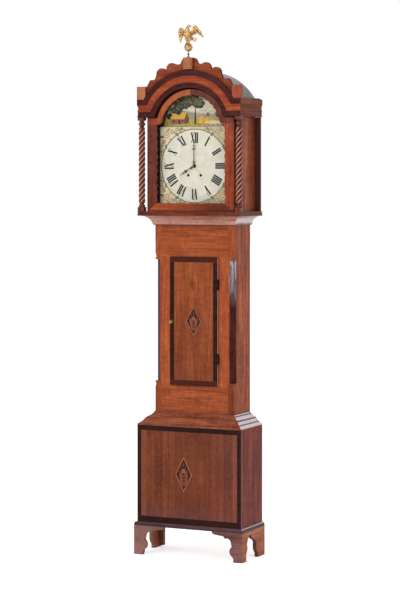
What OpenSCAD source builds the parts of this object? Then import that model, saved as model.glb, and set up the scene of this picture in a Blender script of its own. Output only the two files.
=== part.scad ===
// Longcase clock with an arched painted dial, twist columns and an eight-day movement.
// Millimetres. The front faces -Y, +X is to the right, +Z is up, the feet stand on Z = 0.

/* [Base] */
// Width of the base box
base_w = 482; // [440:1:520]
// Depth of the base box
base_d = 218; // [205:1:240]
// Height of the bracket feet
feet_h = 122; // [105:1:140]
// Height of the moulding on the feet
foot_moulding_h = 17; // [12:1:22]
// How far that moulding stands out
foot_proj = 11; // [7:1:14]
// Height of the base box
base_h = 409; // [360:1:450]
// Height of the sloping moulding on the base
slope_h = 55; // [45:1:65]
// Width of the dark band at the base's top edge
band_top = 21; // [15:1:30]
// Width of the dark band at the base's side edges
band_side = 18; // [12:1:26]
// Width of the dark band at the base's bottom edge
band_bottom = 25; // [18:1:34]
// Width of the base's diamond inlay
base_diamond_w = 78; // [45:1:90]
// Height of the base's diamond inlay
base_diamond_h = 152; // [110:1:180]
// How far the base's diamond sits left of the middle
base_diamond_left = 23; // [0:1:40]

/* [Trunk] */
// Width of the trunk
trunk_w = 368; // [350:1:380]
// Height of the trunk front from the sloping moulding to the throat moulding
trunk_h = 791; // [760:1:830]
// Thickness of the case boards
board_t = 16; // [13:1:18]
// Thickness of the backboard
back_t = 12; // [9:1:14]
// Width of each corner post
post_w = 28; // [26:1:34]
// Leg of the chamfer on each corner post
chamfer_leg = 22; // [14:1:24]
// Width of the trunk door
door_w = 223; // [205:1:235]
// Height of the trunk door
door_h = 539; // [500:1:570]
// Height of the trunk door's bottom edge above the floor
door_z = 720; // [700:1:735]
// Thickness of the trunk door
door_t = 20; // [18:1:22]
// How far the trunk door stands proud of the trunk front
door_proud = 9; // [6:1:11]
// Width of the dark band round the trunk door
door_band = 21; // [14:1:28]
// Gap round the trunk door
door_gap = 1.5; // [1.2:0.1:2]
// Width of the trunk door's diamond inlay
door_diamond_w = 68; // [45:1:80]
// Height of the trunk door's diamond inlay
door_diamond_h = 122; // [90:1:150]
// Height of the throat moulding
throat_h = 39; // [34:1:44]
// Radius of the throat moulding's cove
throat_r = 42; // [36:1:44]

/* [Hood] */
// How far the hood stands out past the trunk on each side
hood_overhang = 57; // [48:1:66]
// Thickness of the hood's base frame
hood_base_t = 18.6; // [16:0.2:22]
// Height of the hood's columns with their blocks
column_h = 397; // [385:1:405]
// Radius of the columns' twisted shafts
column_r = 14; // [11:0.5:15]
// Height of one full turn of the twist
twist_pitch = 88; // [70:1:110]
// Number of strands in the twist
strands = 4; // [3:1:5]
// Inner radius of the arch moulding
arch_r = 167; // [163:1:169]
// Width of the lower dark cornice band
band_low = 22; // [19:1:25]
// Width of the coved cornice band
band_cove = 28; // [24:1:32]
// Width of the upper dark cornice band
band_high = 24; // [20:1:28]
// How far the cornice bands stand out
cornice_proj = 10; // [8:1:12]
// Thickness of the cresting board
crest_t = 12; // [9:1:14]
// Width of the small blocks on the hood
block_w = 40; // [34:1:44]
// Height of the blocks at the hood's corners
block_h = 55; // [45:1:65]
// Thickness of the barrel roof
roof_t = 7; // [5:1:8]
// Width of the hood door
hood_door_w = 400; // [396:1:402]
// Thickness of the hood door
hood_door_t = 20; // [18:1:21]
// Width of the hood door's stiles
stile_w = 39; // [36:1:41]
// Spacing of the scallops along the hood door's inner edge
scallop_pitch = 30; // [22:1:40]
// Depth of the scallops
scallop_depth = 3.5; // [2:0.5:4.5]
// Radius of the gilt ball
ball_r = 18; // [15:0.5:21]
// Height of the eagle
eagle_h = 78; // [65:1:90]

/* [Dial and movement] */
// Width of the dial plate
dial_w = 330; // [324:1:334]
// Radius of the dial's arch
dial_arch_r = 147; // [143:1:150]
// Thickness of the dial plate
dial_t = 1.5; // [1:0.1:2]
// Width of the movement's plates
plate_w = 152; // [150:1:160]
// Height of the movement's plates
plate_h = 178; // [176:1:184]
// Thickness of the movement's plates
plate_t = 3; // [2.5:0.1:3.5]
// Clear space between the plates
plate_space = 60; // [59:0.5:61]
// Radius of the barrels
barrel_r = 18; // [16:0.5:18.5]
// Thickness of the gut lines
line_d = 1.5; // [1.2:0.1:2]
// Radius of the line's path round the pulleys
pulley_r = 21; // [19:0.5:22]
// Length of the minute hand
minute_len = 112; // [100:1:118]
// Length of the hour hand
hour_len = 78; // [70:1:85]
// Length of the pendulum from its spring to the middle of the bob
pendulum_len = 994; // [970:1:1010]
// Radius of the pendulum bob
bob_r = 55; // [45:1:58]
// Thickness of the pendulum bob
bob_t = 24; // [18:1:26]
// Radius of the weights
weight_r = 35; // [30:0.5:36]
// Height of the weights
weight_h = 200; // [170:1:220]
// How far the weights travel
weight_travel = 940; // [850:1:960]
// Radius of the bell
bell_r = 48; // [42:1:50]

/* [Hidden] */
$fn = 48;

// Glue line between joined pieces, and clearance of pieces that pass each other
glue = 0.1;
clear = 0.4;
veneer_t = 1.2;

// Colours
mahogany = "#9a4a22";
dark_wood = "#3a1a14";
pine = "#b98a58";
red_wood = "#6e2f1c";
gilt = "#d9a03a";
brass = "#c9a14a";
steel = "#8c8f94";
cream = "#efe9d8";
iron = "#4a4a4c";

// Base and trunk, from the floor up; depths are measured forwards from the back plane
foot_w = base_w + 2 * foot_proj;
foot_d = base_d + foot_proj;
base_z = feet_h + foot_moulding_h;
base_top = base_z + base_h;
slope_p = (base_w - trunk_w) / 2;
trunk_d = base_d - slope_p;
slope_top = base_top + slope_h;
throat_z = slope_top + trunk_h;
throat_top = throat_z + throat_h;
carcass_low = base_top - 30;
post_x = trunk_w / 2 - post_w;
opening_w = door_w + 2 * door_gap;
frame_t = 20;
door_front = trunk_d + door_proud;
door_back = door_front - door_t;
lock_z = door_z + door_h / 2 - 3;

// Hood
hood_z = throat_top + clear;
hood_floor = hood_z + hood_base_t;
cornice_z = hood_floor + column_h;
cornice_h = band_low + band_cove + band_high;
cornice_top = cornice_z + cornice_h;
hood_d = base_d;
hood_w = trunk_w + 2 * hood_overhang;
levels = [cornice_z, cornice_z + band_low, cornice_z + band_low + band_cove, cornice_top];
radii = [arch_r, arch_r + band_low, arch_r + band_low + band_cove, arch_r + cornice_h];
arch_z = cornice_z - 46;
crest_front = hood_d - 6;
crest_back = crest_front - crest_t;
hood_door_front = crest_back + 1;
hood_door_back = hood_door_front - hood_door_t;
mask_front = hood_door_back - 1;
mask_t = 14;
mask_back = mask_front - mask_t;
hood_side_x = hood_w / 2 - 28;
cornice_x = hood_w / 2 - cornice_proj;
column_x = hood_w / 2 - column_r - 1;
column_y = hood_d - column_r;
hood_door_low = hood_floor + 1;
hood_door_shoulder = cornice_z - 3;
hood_door_r = arch_r - 6;
hood_opening_low = hood_door_low + 31;
hood_opening_x = hood_door_w / 2 - stile_w;
hood_opening_r = hood_door_r - 22;
hinge_x = hood_door_w / 2 + 3;
finial_y = (crest_front + foot_d) / 2 - 1.5;
clock_d = finial_y + ball_r;

// Dial and movement
dial_z = arch_z + 5 - dial_w / 2;
dial_front = mask_back - 5.5;
dial_back = dial_front - dial_t;
back_plate = 61;
space_low = back_plate + plate_t;
space_high = space_low + plate_space;
front_plate = space_high + plate_t;
seat_z = throat_top + 96;
seat_t = 22;
seat_top = seat_z + seat_t;
plates_z = seat_top + 0.1;
line_x = barrel_r + line_d / 2;
line_y = space_low + 28;
barrel_x = 29;
barrel_z = dial_z - 39;
pulley_x = barrel_x + line_x + pulley_r;
weight_low = base_z + 116;
weight_top = weight_low + weight_h;
pulley_z = weight_top + 50;

// Wheel train: teeth, pinion leaves and arbor places, in the plane of the plates
centre_at = [0, dial_z];
going_at = [barrel_x, barrel_z];
strike_at = [-barrel_x, barrel_z];
great_teeth = 96;
pinion_leaves = 8;
centre_teeth = 60;
third_teeth = 56;
escape_leaves = 7;
escape_teeth = 30;
centre_r = 26;
third_r = 24.5;
escape_r = 19;
great_mod = 2 * norm(going_at - centre_at) / (great_teeth + pinion_leaves);
centre_mod = 2 * centre_r / centre_teeth;
third_mod = 2 * third_r / third_teeth;
third_dist = centre_mod * (centre_teeth + pinion_leaves) / 2;
third_at = centre_at + third_dist * [cos(45), sin(45)];
escape_dist = third_mod * (third_teeth + escape_leaves) / 2;
escape_at = [0, third_at[1] + sqrt(escape_dist * escape_dist - third_at[0] * third_at[0])];
pallet_at = escape_at + [0, escape_r * sqrt(2)];
pin_teeth = 56;
pin_r = 21;
pin_at = strike_at + 46.5 * [cos(98), sin(98)];
strike_mod = 2 * 46.5 / (great_teeth + pinion_leaves);
pin_mod = 2 * pin_r / pin_teeth;
locking_at = pin_at + pin_mod * (pin_teeth + pinion_leaves) / 2 * [cos(70), sin(70)];
locking_teeth = 48;
locking_r = 16;
locking_mod = 2 * locking_r / locking_teeth;
fly_at = locking_at + locking_mod * (locking_teeth + escape_leaves) / 2 * [cos(80), sin(80)];
motion_dist = 34;
motion_teeth = 40;
motion_mod = 2 * motion_dist / (2 * motion_teeth);
motion_at = centre_at + motion_dist * [cos(160), sin(160)];
hour_teeth = 72;
hour_leaves = 6;
hour_mod = 2 * motion_dist / (hour_teeth + hour_leaves);
hammer_at = [-50, plates_z + plate_h - 14];
bell_z = plates_z + plate_h + 16;

// A direction from one arbor to another, in degrees
function bearing(a, b) = atan2(b[1] - a[1], b[0] - a[0]);
// Points of an arc
function arc(c, r, a0, a1, n = 8) = [for (i = [0:n]) c + r * [cos(a0 + (a1 - a0) * i / n), sin(a0 + (a1 - a0) * i / n)]];
// Where the arch of a radius meets its shoulder level
function shoulder_x(r, level) = sqrt(r * r - (level - arch_z) * (level - arch_z));

// A board given by its lowest and highest corners; front and back count forwards from the back plane
module board(x0, x1, back, front, z0, z1) {
  translate([x0, -front, z0])
    cube([x1 - x0, front - back, z1 - z0]);
}

module both_sides() {
  children();
  mirror([1, 0, 0])
    children();
}

// A flat outline in X and Z, with its front face at the given depth
module plate(front, thick) {
  translate([0, thick - front, 0])
    rotate([90, 0, 0])
      linear_extrude(thick)
        children();
}

// A flat outline in forward depth and Z, made into a board that faces sideways
module side_plate(x, thick) {
  translate([x + thick, 0, 0])
    rotate([90, 0, -90])
      linear_extrude(thick)
        children();
}

// A rod along Y between two depths
module rod(at, r, back, front) {
  translate([at[0], -back, at[1]])
    rotate([90, 0, 0])
      cylinder(r = r, h = front - back);
}

// A moulding carried round the front and both sides of a box; its outline is projection and height
module surround(w, d, reach, inner) {
  difference() {
    translate([w / 2 + reach, -d, 0])
      rotate([90, 0, -90])
        linear_extrude(w + 2 * reach)
          children([0:$children - 1]);
    both_sides()
      mitre_wedge(w, d, reach, inner, -glue);
  }
  both_sides()
    intersection() {
      translate([w / 2, 0, 0])
        rotate([90, 0, 0])
          linear_extrude(d + reach)
            children([0:$children - 1]);
      mitre_wedge(w, d, reach, inner, glue);
    }
}

// The space behind and beside the mitre at the right corner
module mitre_wedge(w, d, reach, inner, shift) {
  far = max(reach, inner) + 60;
  linear_extrude(2400)
    polygon([
      [w / 2 - far, -d + far + shift],
      [w / 2 + far, -d - far + shift],
      [w / 2 + far, 1],
      [w / 2 - far, 1]
    ]);
}

/* Base */

module backboard() {
  color(pine) {
    board(-trunk_w / 2 + board_t + glue, trunk_w / 2 - board_t - glue, 0, back_t, base_z, seat_z);
    board(-trunk_w / 2, trunk_w / 2, 0, back_t, seat_z + glue, cornice_z + 52);
    both_sides()
      board(trunk_w / 2 + glue, hood_w / 2 - 6, 0, back_t, hood_floor, cornice_z - clear);
  }
}

// The part of the base's front panel inside its dark bands
module base_field(grow = 0) {
  translate([-base_w / 2 + band_side - grow, base_z + band_bottom - grow])
    square([base_w - 2 * band_side + 2 * grow, base_h - band_bottom - band_top + 2 * grow]);
}

module diamond(w, h, z, x = 0) {
  polygon([[x - w / 2, z], [x, z - h / 2], [x + w / 2, z], [x, z + h / 2]]);
}

base_diamond_z = base_z + base_h / 2 + 5.5;
door_diamond_z = door_z + door_h / 2;

module base_front_panel() {
  color(mahogany)
    difference() {
      board(-base_w / 2, base_w / 2, base_d - board_t, base_d, base_z, base_top);
      plate(base_d + 1, veneer_t + 1)
        difference() {
          translate([-base_w / 2 - 1, base_z - 1])
            square([base_w + 2, base_h + 2]);
          base_field();
        }
      plate(base_d + 1, veneer_t + 1)
        diamond(base_diamond_w, base_diamond_h, base_diamond_z, -base_diamond_left);
    }
}

// Four mitred strips between an outer rectangle and an inner one
module mitred_strips(x, z0, z1, side, low, high) {
  gap = glue / 2;
  both_sides()
    polygon([[x, z0 + gap], [x, z1 - gap], [x - side + gap, z1 - high - gap], [x - side + gap, z0 + low + gap]]);
  polygon([[gap - x, z0], [x - gap, z0], [x - side - gap, z0 + low - gap], [side + gap - x, z0 + low - gap]]);
  polygon([[gap - x, z1], [x - gap, z1], [x - side - gap, z1 - high + gap], [side + gap - x, z1 - high + gap]]);
}

module base_inlays() {
  color(dark_wood) {
    plate(base_d, veneer_t - glue)
      mitred_strips(base_w / 2, base_z, base_top, band_side, band_bottom, band_top);
    plate(base_d, veneer_t - glue)
      diamond(base_diamond_w - 2 * glue, base_diamond_h - 4 * glue, base_diamond_z, -base_diamond_left);
  }
}

module base_carcass() {
  inner = base_w / 2 - board_t;
  color(red_wood)
    both_sides()
      board(inner, base_w / 2, 0, base_d - board_t - glue, base_z, base_top);
  color(pine) {
    both_sides()
      board(trunk_w / 2 - board_t + glue, inner - glue, 0, back_t, base_z, carcass_low - glue);
    board(-inner + glue, inner - glue, back_t + glue, base_d - board_t - glue, base_z, base_z + board_t);
  }
}

foot_moulding_inset = 24;

module base_mouldings() {
  color(red_wood)
    surround(base_w, base_d, foot_proj, foot_moulding_inset) {
      translate([-foot_moulding_inset, feet_h])
        square([foot_moulding_inset, foot_moulding_h - glue]);
      translate([-1, feet_h])
        square([foot_proj + 1, foot_moulding_h - foot_proj]);
      translate([0, base_z - foot_proj])
        intersection() {
          circle(r = foot_proj - glue);
          square(foot_proj);
        }
    }
  color(red_wood)
    surround(trunk_w, trunk_d, slope_p, glue)
      polygon(concat(
        [[glue, base_top + glue], [slope_p, base_top + glue], [slope_p, base_top + 6]],
        slope_stage(slope_p - 1, base_top + 6, slope_p / 2 + 3, base_top + slope_h / 2 + 2),
        [[slope_p / 2, base_top + slope_h / 2 + 2], [slope_p / 2, base_top + slope_h / 2 + 6]],
        slope_stage(slope_p / 2 - 1, base_top + slope_h / 2 + 6, 4, slope_top - 3),
        [[4, slope_top], [glue, slope_top]]
      ));
}

// One stage of the sloping moulding, a shallow hollow between two points
function slope_stage(p0, z0, p1, z1, n = 6) =
  [for (i = [0:n]) [p0 + (p1 - p0) * i / n - 1.6 * sin(180 * i / n), z0 + (z1 - z0) * i / n - 1.6 * sin(180 * i / n)]];

foot_pad = 41;
bracket_t = 17;
wing = 141;
corner_block = 18;

// Scrolled outline of a bracket foot, from its outer corner inwards
function bracket_edge() = concat(
  [[0, 0], [foot_pad, 0], [foot_pad, 14]],
  arc([35, 44], 24, -62, 55),
  arc([72, 78], 20, 165, 85, 5),
  arc([96, 90], 17, 165, 80, 5),
  [[128, feet_h - 12]],
  arc([wing - 13, feet_h - glue], 12, -80, 0, 5)
);

module bracket_feet() {
  color(red_wood) {
    both_sides()
      plate(foot_d, bracket_t)
        translate([foot_w / 2, 0])
          mirror([1, 0])
            polygon(concat(bracket_edge(), [[0, feet_h - glue]]));
    both_sides()
      side_plate(foot_w / 2 - bracket_t, bracket_t)
        difference() {
          square([foot_d - bracket_t - glue, feet_h - glue]);
          side_arch();
        }
  }
  color(pine)
    both_sides()
      for (back = [2, foot_d - bracket_t - glue - corner_block])
        board(foot_w / 2 - bracket_t - corner_block, foot_w / 2 - bracket_t - glue, back, back + corner_block, 6, feet_h - glue);
}

// The opening between the front and back feet of a side bracket, highest near the front foot
module side_arch() {
  translate([foot_d, 0])
    mirror([1, 0])
      polygon(concat(
        [[foot_pad, -1], [foot_pad, 14], [43, 34]],
        arc([38, 56], 16, -45, 50, 5),
        [[53, 80], [61, 93]],
        arc([79, 91], 15, 150, 50, 5),
        [[97, 93], [112, 85]],
        arc([127, 60], 17, 80, -25, 6),
        [[143, 40], [150, 27], [160, 19], [162, 10], [162, -1]]
      ));
}

/* Trunk */

module trunk_sides() {
  color(red_wood)
    both_sides()
      board(trunk_w / 2 - board_t, trunk_w / 2, 0, trunk_d - post_w - glue, carcass_low, seat_z - glue);
}

chamfer_z0 = door_z + 13;
chamfer_z1 = door_z + door_h - 11;

module trunk_corner_posts() {
  ledge = 8;
  tongue = 20;
  color(mahogany)
    both_sides()
      difference() {
        board(post_x, trunk_w / 2, trunk_d - post_w, trunk_d, carcass_low, throat_top);
        translate([trunk_w / 2, -trunk_d, chamfer_z0])
          rotate([0, 0, 45])
            translate([-chamfer_leg, -chamfer_leg * sqrt(0.5), 0])
              cube([2 * chamfer_leg, 2 * chamfer_leg * sqrt(0.5), chamfer_z1 - chamfer_z0]);
        for (end = [[chamfer_z0 - ledge, -1], [chamfer_z1 + ledge, 1]])
          translate([trunk_w / 2, -trunk_d, end[0]])
            scale([1, 1, end[1]])
              cylinder(r1 = 9, r2 = 0.5, h = tongue);
      }
}

module trunk_front_frame() {
  x = post_x - glue;
  rail_top = door_z + door_h + door_gap;
  rail_low = door_z - door_gap;
  back = trunk_d - frame_t;
  color(mahogany)
    difference() {
      union() {
        board(-x, x, back, trunk_d, rail_top, throat_top);
        board(-x, x, back, trunk_d, carcass_low, rail_low);
        both_sides()
          board(opening_w / 2, x, back, trunk_d, rail_low + glue, rail_top - glue);
      }
      board(-opening_w / 2 - 11, -opening_w / 2 + 1, door_back - 9, door_back, lock_z - 8, lock_z + 8);
      for (z = hinge_heights())
        board(opening_w / 2 - 1, opening_w / 2 + 0.6, back - 1, trunk_d + 1, z - hinge_h / 2 - 0.2, z + hinge_h / 2 + 0.2);
    }
}

hinge_h = 44;
function hinge_heights() = [door_z + 113, door_z + door_h - 113];
trunk_axis = [door_w / 2 + 0.9, door_front + 1];
knuckle_r = 3.2;

// A knuckle of a butt hinge, bored for its pin
module knuckle(z0, z1, bored = true) {
  translate([trunk_axis[0], -trunk_axis[1], z0])
    difference() {
      cylinder(r = knuckle_r, h = z1 - z0);
      if (bored)
        translate([0, 0, -1])
          cylinder(r = 1.25, h = z1 - z0 + 2);
    }
}

module trunk_hinges() {
  third = hinge_h / 3;
  leaf_x = opening_w / 2 + 0.1;
  color(brass)
    for (z = hinge_heights()) {
      knuckle(z - third / 2, z + third / 2, false);
      board(leaf_x, leaf_x + 0.4, trunk_d - frame_t + 3, trunk_d + 4, z - hinge_h / 2, z + hinge_h / 2);
      board(leaf_x, leaf_x + 0.4, trunk_d, trunk_axis[1], z - third / 2, z + third / 2);
      board(trunk_axis[0], leaf_x + 0.4, trunk_axis[1] - 1, trunk_axis[1] + 1, z - third / 2, z + third / 2);
      translate([trunk_axis[0], -trunk_axis[1], z - hinge_h / 2 + 0.5])
        cylinder(r = 1.2, h = hinge_h - 1);
    }
}

module throat_moulding() {
  lip = 50;
  color(mahogany)
    surround(trunk_w, trunk_d, lip, glue)
      difference() {
        translate([glue, throat_z])
          square([lip - glue, throat_h]);
        translate([lip, throat_z - 3])
          circle(r = throat_r, $fn = 96);
        translate([6, throat_z - 10])
          square([lip, 12]);
      }
}

module seatboard() {
  color(pine)
    difference() {
      board(-trunk_w / 2, trunk_w / 2, back_t + glue, trunk_d - post_w, seat_z, seat_top);
      board(-32, 32, 24, 56, seat_z - 1, seat_top + 1);
      for (x = [barrel_x + line_x, barrel_x + line_x + 2 * pulley_r], side = [-1, 1])
        translate([side * x, -line_y, seat_z - 1])
          cylinder(r = 6, h = seat_t + 2);
    }
}

/* Trunk door */

module trunk_door_panel() {
  color(mahogany)
    difference() {
      board(-door_w / 2, door_w / 2, door_back, door_front, door_z, door_z + door_h);
      plate(door_front + 1, veneer_t + 1)
        difference() {
          translate([-door_w / 2 - 1, door_z - 1])
            square([door_w + 2, door_h + 2]);
          translate([-door_w / 2 + door_band, door_z + door_band])
            square([door_w - 2 * door_band, door_h - 2 * door_band]);
        }
      plate(door_front + 1, veneer_t + 1)
        diamond(door_diamond_w, door_diamond_h, door_diamond_z);
      rod([key_x, lock_z], key_r + 0.6, door_back - 1, door_front + 1);
      for (z = hinge_heights()) {
        board(door_w / 2 - 0.7, door_w / 2 + 1, door_back - 1, door_front + 1, z - hinge_h / 2 - 0.2, z + hinge_h / 2 + 0.2);
        translate([trunk_axis[0], -trunk_axis[1], z - hinge_h / 2 - 0.2])
          cylinder(r = knuckle_r + 0.3, h = hinge_h + 0.4);
      }
    }
}

key_x = -door_w / 2 + door_band / 2;
key_r = 2.5;

module trunk_door_inlays() {
  color(dark_wood)
    difference() {
      union() {
        plate(door_front, veneer_t - glue)
          mitred_strips(door_w / 2 - 0.8, door_z, door_z + door_h, door_band - 0.8, door_band, door_band);
        plate(door_front, veneer_t - glue)
          diamond(door_diamond_w - 2 * glue, door_diamond_h - 4 * glue, door_diamond_z);
      }
      rod([key_x, lock_z], key_r + 0.6, door_front - 3, door_front + 1);
      for (z = hinge_heights())
        translate([trunk_axis[0], -trunk_axis[1], z - hinge_h / 2 - 0.2])
          cylinder(r = knuckle_r + 0.3, h = hinge_h + 0.4);
    }
}

bolt_h = 12;
bolt_t = 4;
bolt_back = door_back - 6;

module trunk_door_lock() {
  third = hinge_h / 3;
  case_x0 = -door_w / 2 + 1.5;
  case_x1 = case_x0 + 42;
  case_back = door_back - 9;
  color(brass) {
    difference() {
      board(case_x0, case_x1, case_back, door_back - glue, lock_z - 24, lock_z + 24);
      board(case_x0 - 1, case_x1 - 3, bolt_back - 0.3, bolt_back + bolt_t + 0.3,
        lock_z - bolt_h / 2 - 0.3, lock_z + bolt_h / 2 + 0.3);
      rod([key_x, lock_z], key_r + 0.3, door_back - 1.2, door_back + 1);
    }
    difference() {
      rod([key_x, lock_z], 8, door_front + glue / 2, door_front + 0.9);
      rod([key_x, lock_z], key_r + 0.6, door_front - 1, door_front + 2);
    }
    for (z = hinge_heights(), end = [-1, 1]) {
      z0 = end < 0 ? z - hinge_h / 2 : z + third / 2 + 0.2;
      knuckle(z0, z0 + third - 0.2);
      board(door_w / 2 - 0.6, door_w / 2 - 0.1, door_back + 2, trunk_axis[1] - knuckle_r + 0.9, z0, z0 + third - 0.2);
    }
  }
}

module trunk_lock_bolt() {
  x0 = -door_w / 2 + 1;
  color(brass)
    board(x0, x0 + 30, bolt_back, bolt_back + bolt_t, lock_z - bolt_h / 2, lock_z + bolt_h / 2);
}

module trunk_key() {
  bow = door_front + 15;
  color(brass) {
    rod([key_x, lock_z], key_r, door_back - 1, bow - 6);
    translate([key_x, -bow, lock_z])
      rotate([0, 90, 0])
        difference() {
          cylinder(r = 9, h = 3, center = true);
          cylinder(r = 5, h = 4, center = true);
        }
  }
}

/* Hood */

// Everything below an arched line with level shoulders
module under_arch(r, level, wide, low) {
  translate([-wide, low])
    square([2 * wide, level - low]);
  intersection() {
    translate([0, arch_z])
      circle(r = r, $fn = 128);
    translate([-r - 1, level - 1])
      square(2 * r + 2);
  }
}

module hood_base_frame() {
  inset = 51;
  color(red_wood)
    surround(hood_w, hood_d, 0, inset)
      polygon([
        [-inset, hood_z], [0, hood_z], [0, hood_z + 8], [-2.5, hood_z + 9], [-2.5, hood_z + 11],
        [-1, hood_z + 12], [-1, hood_floor - glue], [-inset, hood_floor - glue]
      ]);
}

module hood_front_frame() {
  top = radii[3] - roof_t - glue;
  color(dark_wood)
    difference() {
      union() {
        plate(mask_front, mask_t)
          under_arch(top, levels[2] + 2, hood_side_x - glue, hood_floor);
        plate(crest_back - glue, crest_back - mask_front)
          difference() {
            under_arch(top, levels[2] + 2, hood_side_x - glue, cornice_z);
            under_arch(arch_r, cornice_z + 0.5, hood_side_x + 1, arch_z);
          }
      }
      plate(mask_front + 1, mask_t + 2)
        under_arch(hood_opening_r + 1, arch_z + 8, hood_opening_x - 3, hood_opening_low + 2);
    }
}

module hood_sides() {
  color(red_wood)
    both_sides() {
      board(hood_side_x - board_t + 1, hood_side_x, back_t + clear, mask_back - glue, hood_floor, cornice_top - glue);
      board(hood_side_x + glue, cornice_x - glue, back_t + clear, crest_back - glue, cornice_z + glue, cornice_top - glue);
    }
}

module hood_roof() {
  low = cornice_top - arch_z;
  color(iron) {
    translate([0, 0, arch_z])
      intersection() {
        rotate([90, 0, 0])
          difference() {
            cylinder(r = radii[3], h = crest_back - glue, $fn = 128);
            translate([0, 0, -1])
              cylinder(r = radii[3] - roof_t, h = crest_back + 1, $fn = 128);
          }
        translate([-radii[3], -hood_d, low])
          cube([2 * radii[3], hood_d + 1, radii[3]]);
      }
    both_sides()
      board(shoulder_x(radii[3], cornice_top) + glue, cornice_x + 2, 0, crest_back - glue,
        cornice_top + glue, cornice_top + 5);
  }
}

// A cornice band round the front and both sides; its outline is projection and rise from the shoulder level
module cornice_band(inner, outer, level) {
  mitre = [
    [shoulder_x(inner, level), level],
    [shoulder_x(outer, level + outer - inner), level + outer - inner]
  ];
  rise = mitre[1] + 3 * (mitre[1] - mitre[0]);
  drop = mitre[0] - (mitre[1] - mitre[0]) / 4;
  intersection() {
    translate([0, -crest_front, arch_z])
      rotate([90, 0, 0])
        rotate_extrude($fn = 160)
          translate([inner, 0])
            rotate(-90)
              mirror([1, 0])
                children();
    plate(crest_front + 30, 60)
      polygon([rise, drop, [-drop[0], drop[1]], [-rise[0], rise[1]], [-rise[0], 2400], [rise[0], 2400]]);
  }
  surround_shoulder(level, drop, rise)
    children();
}

module surround_shoulder(level, drop, rise) {
  difference() {
    surround(2 * cornice_x, crest_front, cornice_proj, cornice_proj)
      translate([0, level])
        children();
    plate(crest_front + 30, 32)
      polygon([
        [rise[0] + glue, rise[1]], [drop[0] + glue, drop[1]], [-drop[0] - glue, drop[1]], [-rise[0] - glue, rise[1]]
      ]);
  }
}

module cornice_dark_bands() {
  color(dark_wood) {
    cornice_band(radii[2] + glue, radii[3], levels[2] + glue)
      square([cornice_proj, band_high - glue]);
    cornice_band(radii[0], radii[1] - glue, levels[0])
      polygon([
        [0, 0], [cornice_proj - 1, 0], [cornice_proj - 1, 5], [cornice_proj - 3, 6],
        [cornice_proj - 3, band_low - glue], [0, band_low - glue]
      ]);
  }
}

module cornice_cove() {
  color(mahogany)
    cornice_band(radii[1], radii[2], levels[1])
      difference() {
        square([cornice_proj - 1, band_cove]);
        translate([cornice_proj + 22, band_cove / 2])
          circle(r = 26, $fn = 96);
      }
}

// Upper edge of the scalloped cresting on the right, from the middle outwards
crest_shift = -6;
function crest_edge() = concat(
  [[0, arch_z + 291], [24, arch_z + 291], [32, arch_z + 286], [37, arch_z + 276], [41, arch_z + 268], [49, arch_z + 265]],
  arc([76, arch_z + 247], 25, 128, -8, 12),
  arc([123, arch_z + 226], 25, 118, -8, 12),
  [[152, arch_z + 211], [157, arch_z + 204], [163, arch_z + 201]],
  arc([176, arch_z + 190], 13, 120, 10, 8),
  [[cornice_x - block_w + 9, cornice_top + block_h - 2], [cornice_x - block_w + 9, cornice_top]]
);

module cresting_board() {
  right = crest_edge();
  color(mahogany)
    plate(crest_front - glue, crest_t - glue)
      difference() {
        union() {
          polygon(concat(
            right,
            [[cornice_x - glue, cornice_top], [cornice_x - glue, cornice_z], [0, cornice_z]]
          ));
          polygon(concat(
            [for (p = right) [-p[0] + (p[0] > 50 && p[0] < 170 ? crest_shift : 0), p[1]]],
            [[glue - cornice_x, cornice_top], [glue - cornice_x, cornice_z], [0, cornice_z]]
          ));
        }
        under_arch(arch_r, cornice_z + 0.5, cornice_x + 1, cornice_z - 10);
      }
}

crest_block_z = arch_z + radii[3] + 2.5;
crest_block_h = 49;

module cresting_blocks() {
  color(mahogany) {
    both_sides()
      difference() {
        board(hood_w / 2 - block_w, hood_w / 2, crest_back, crest_front + cornice_proj,
          cornice_top + glue, cornice_top + block_h);
        rod([0, arch_z], radii[3] + glue, crest_back - 1, crest_front + cornice_proj + 1, $fn = 160);
      }
    board(-block_w / 2, block_w / 2, crest_front + glue, foot_d, crest_block_z, crest_block_z + crest_block_h);
  }
}

// Eagle with half-spread wings on a ball and a short spindle
module eagle_finial() {
  foot_z = crest_block_z + crest_block_h + glue;
  ball_z = foot_z + 25 + ball_r;
  color(gilt)
    translate([0, -finial_y, 0]) {
      translate([0, 0, foot_z])
        rotate_extrude()
          polygon([[0, 0], [8, 0], [8, 2], [4, 4], [3.5, 11], [5.5, 13], [5.5, 15], [3.5, 17], [3.5, 28], [0, 28]]);
      translate([0, 0, ball_z])
        sphere(r = ball_r);
      translate([0, 0, ball_z + ball_r - 1])
        scale(eagle_h / 78)
          eagle();
    }
}

// A solid drawn over two balls
module drawn(a, ra, b, rb) {
  hull() {
    translate(a)
      sphere(r = ra, $fn = 20);
    translate(b)
      sphere(r = rb, $fn = 20);
  }
}

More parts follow.
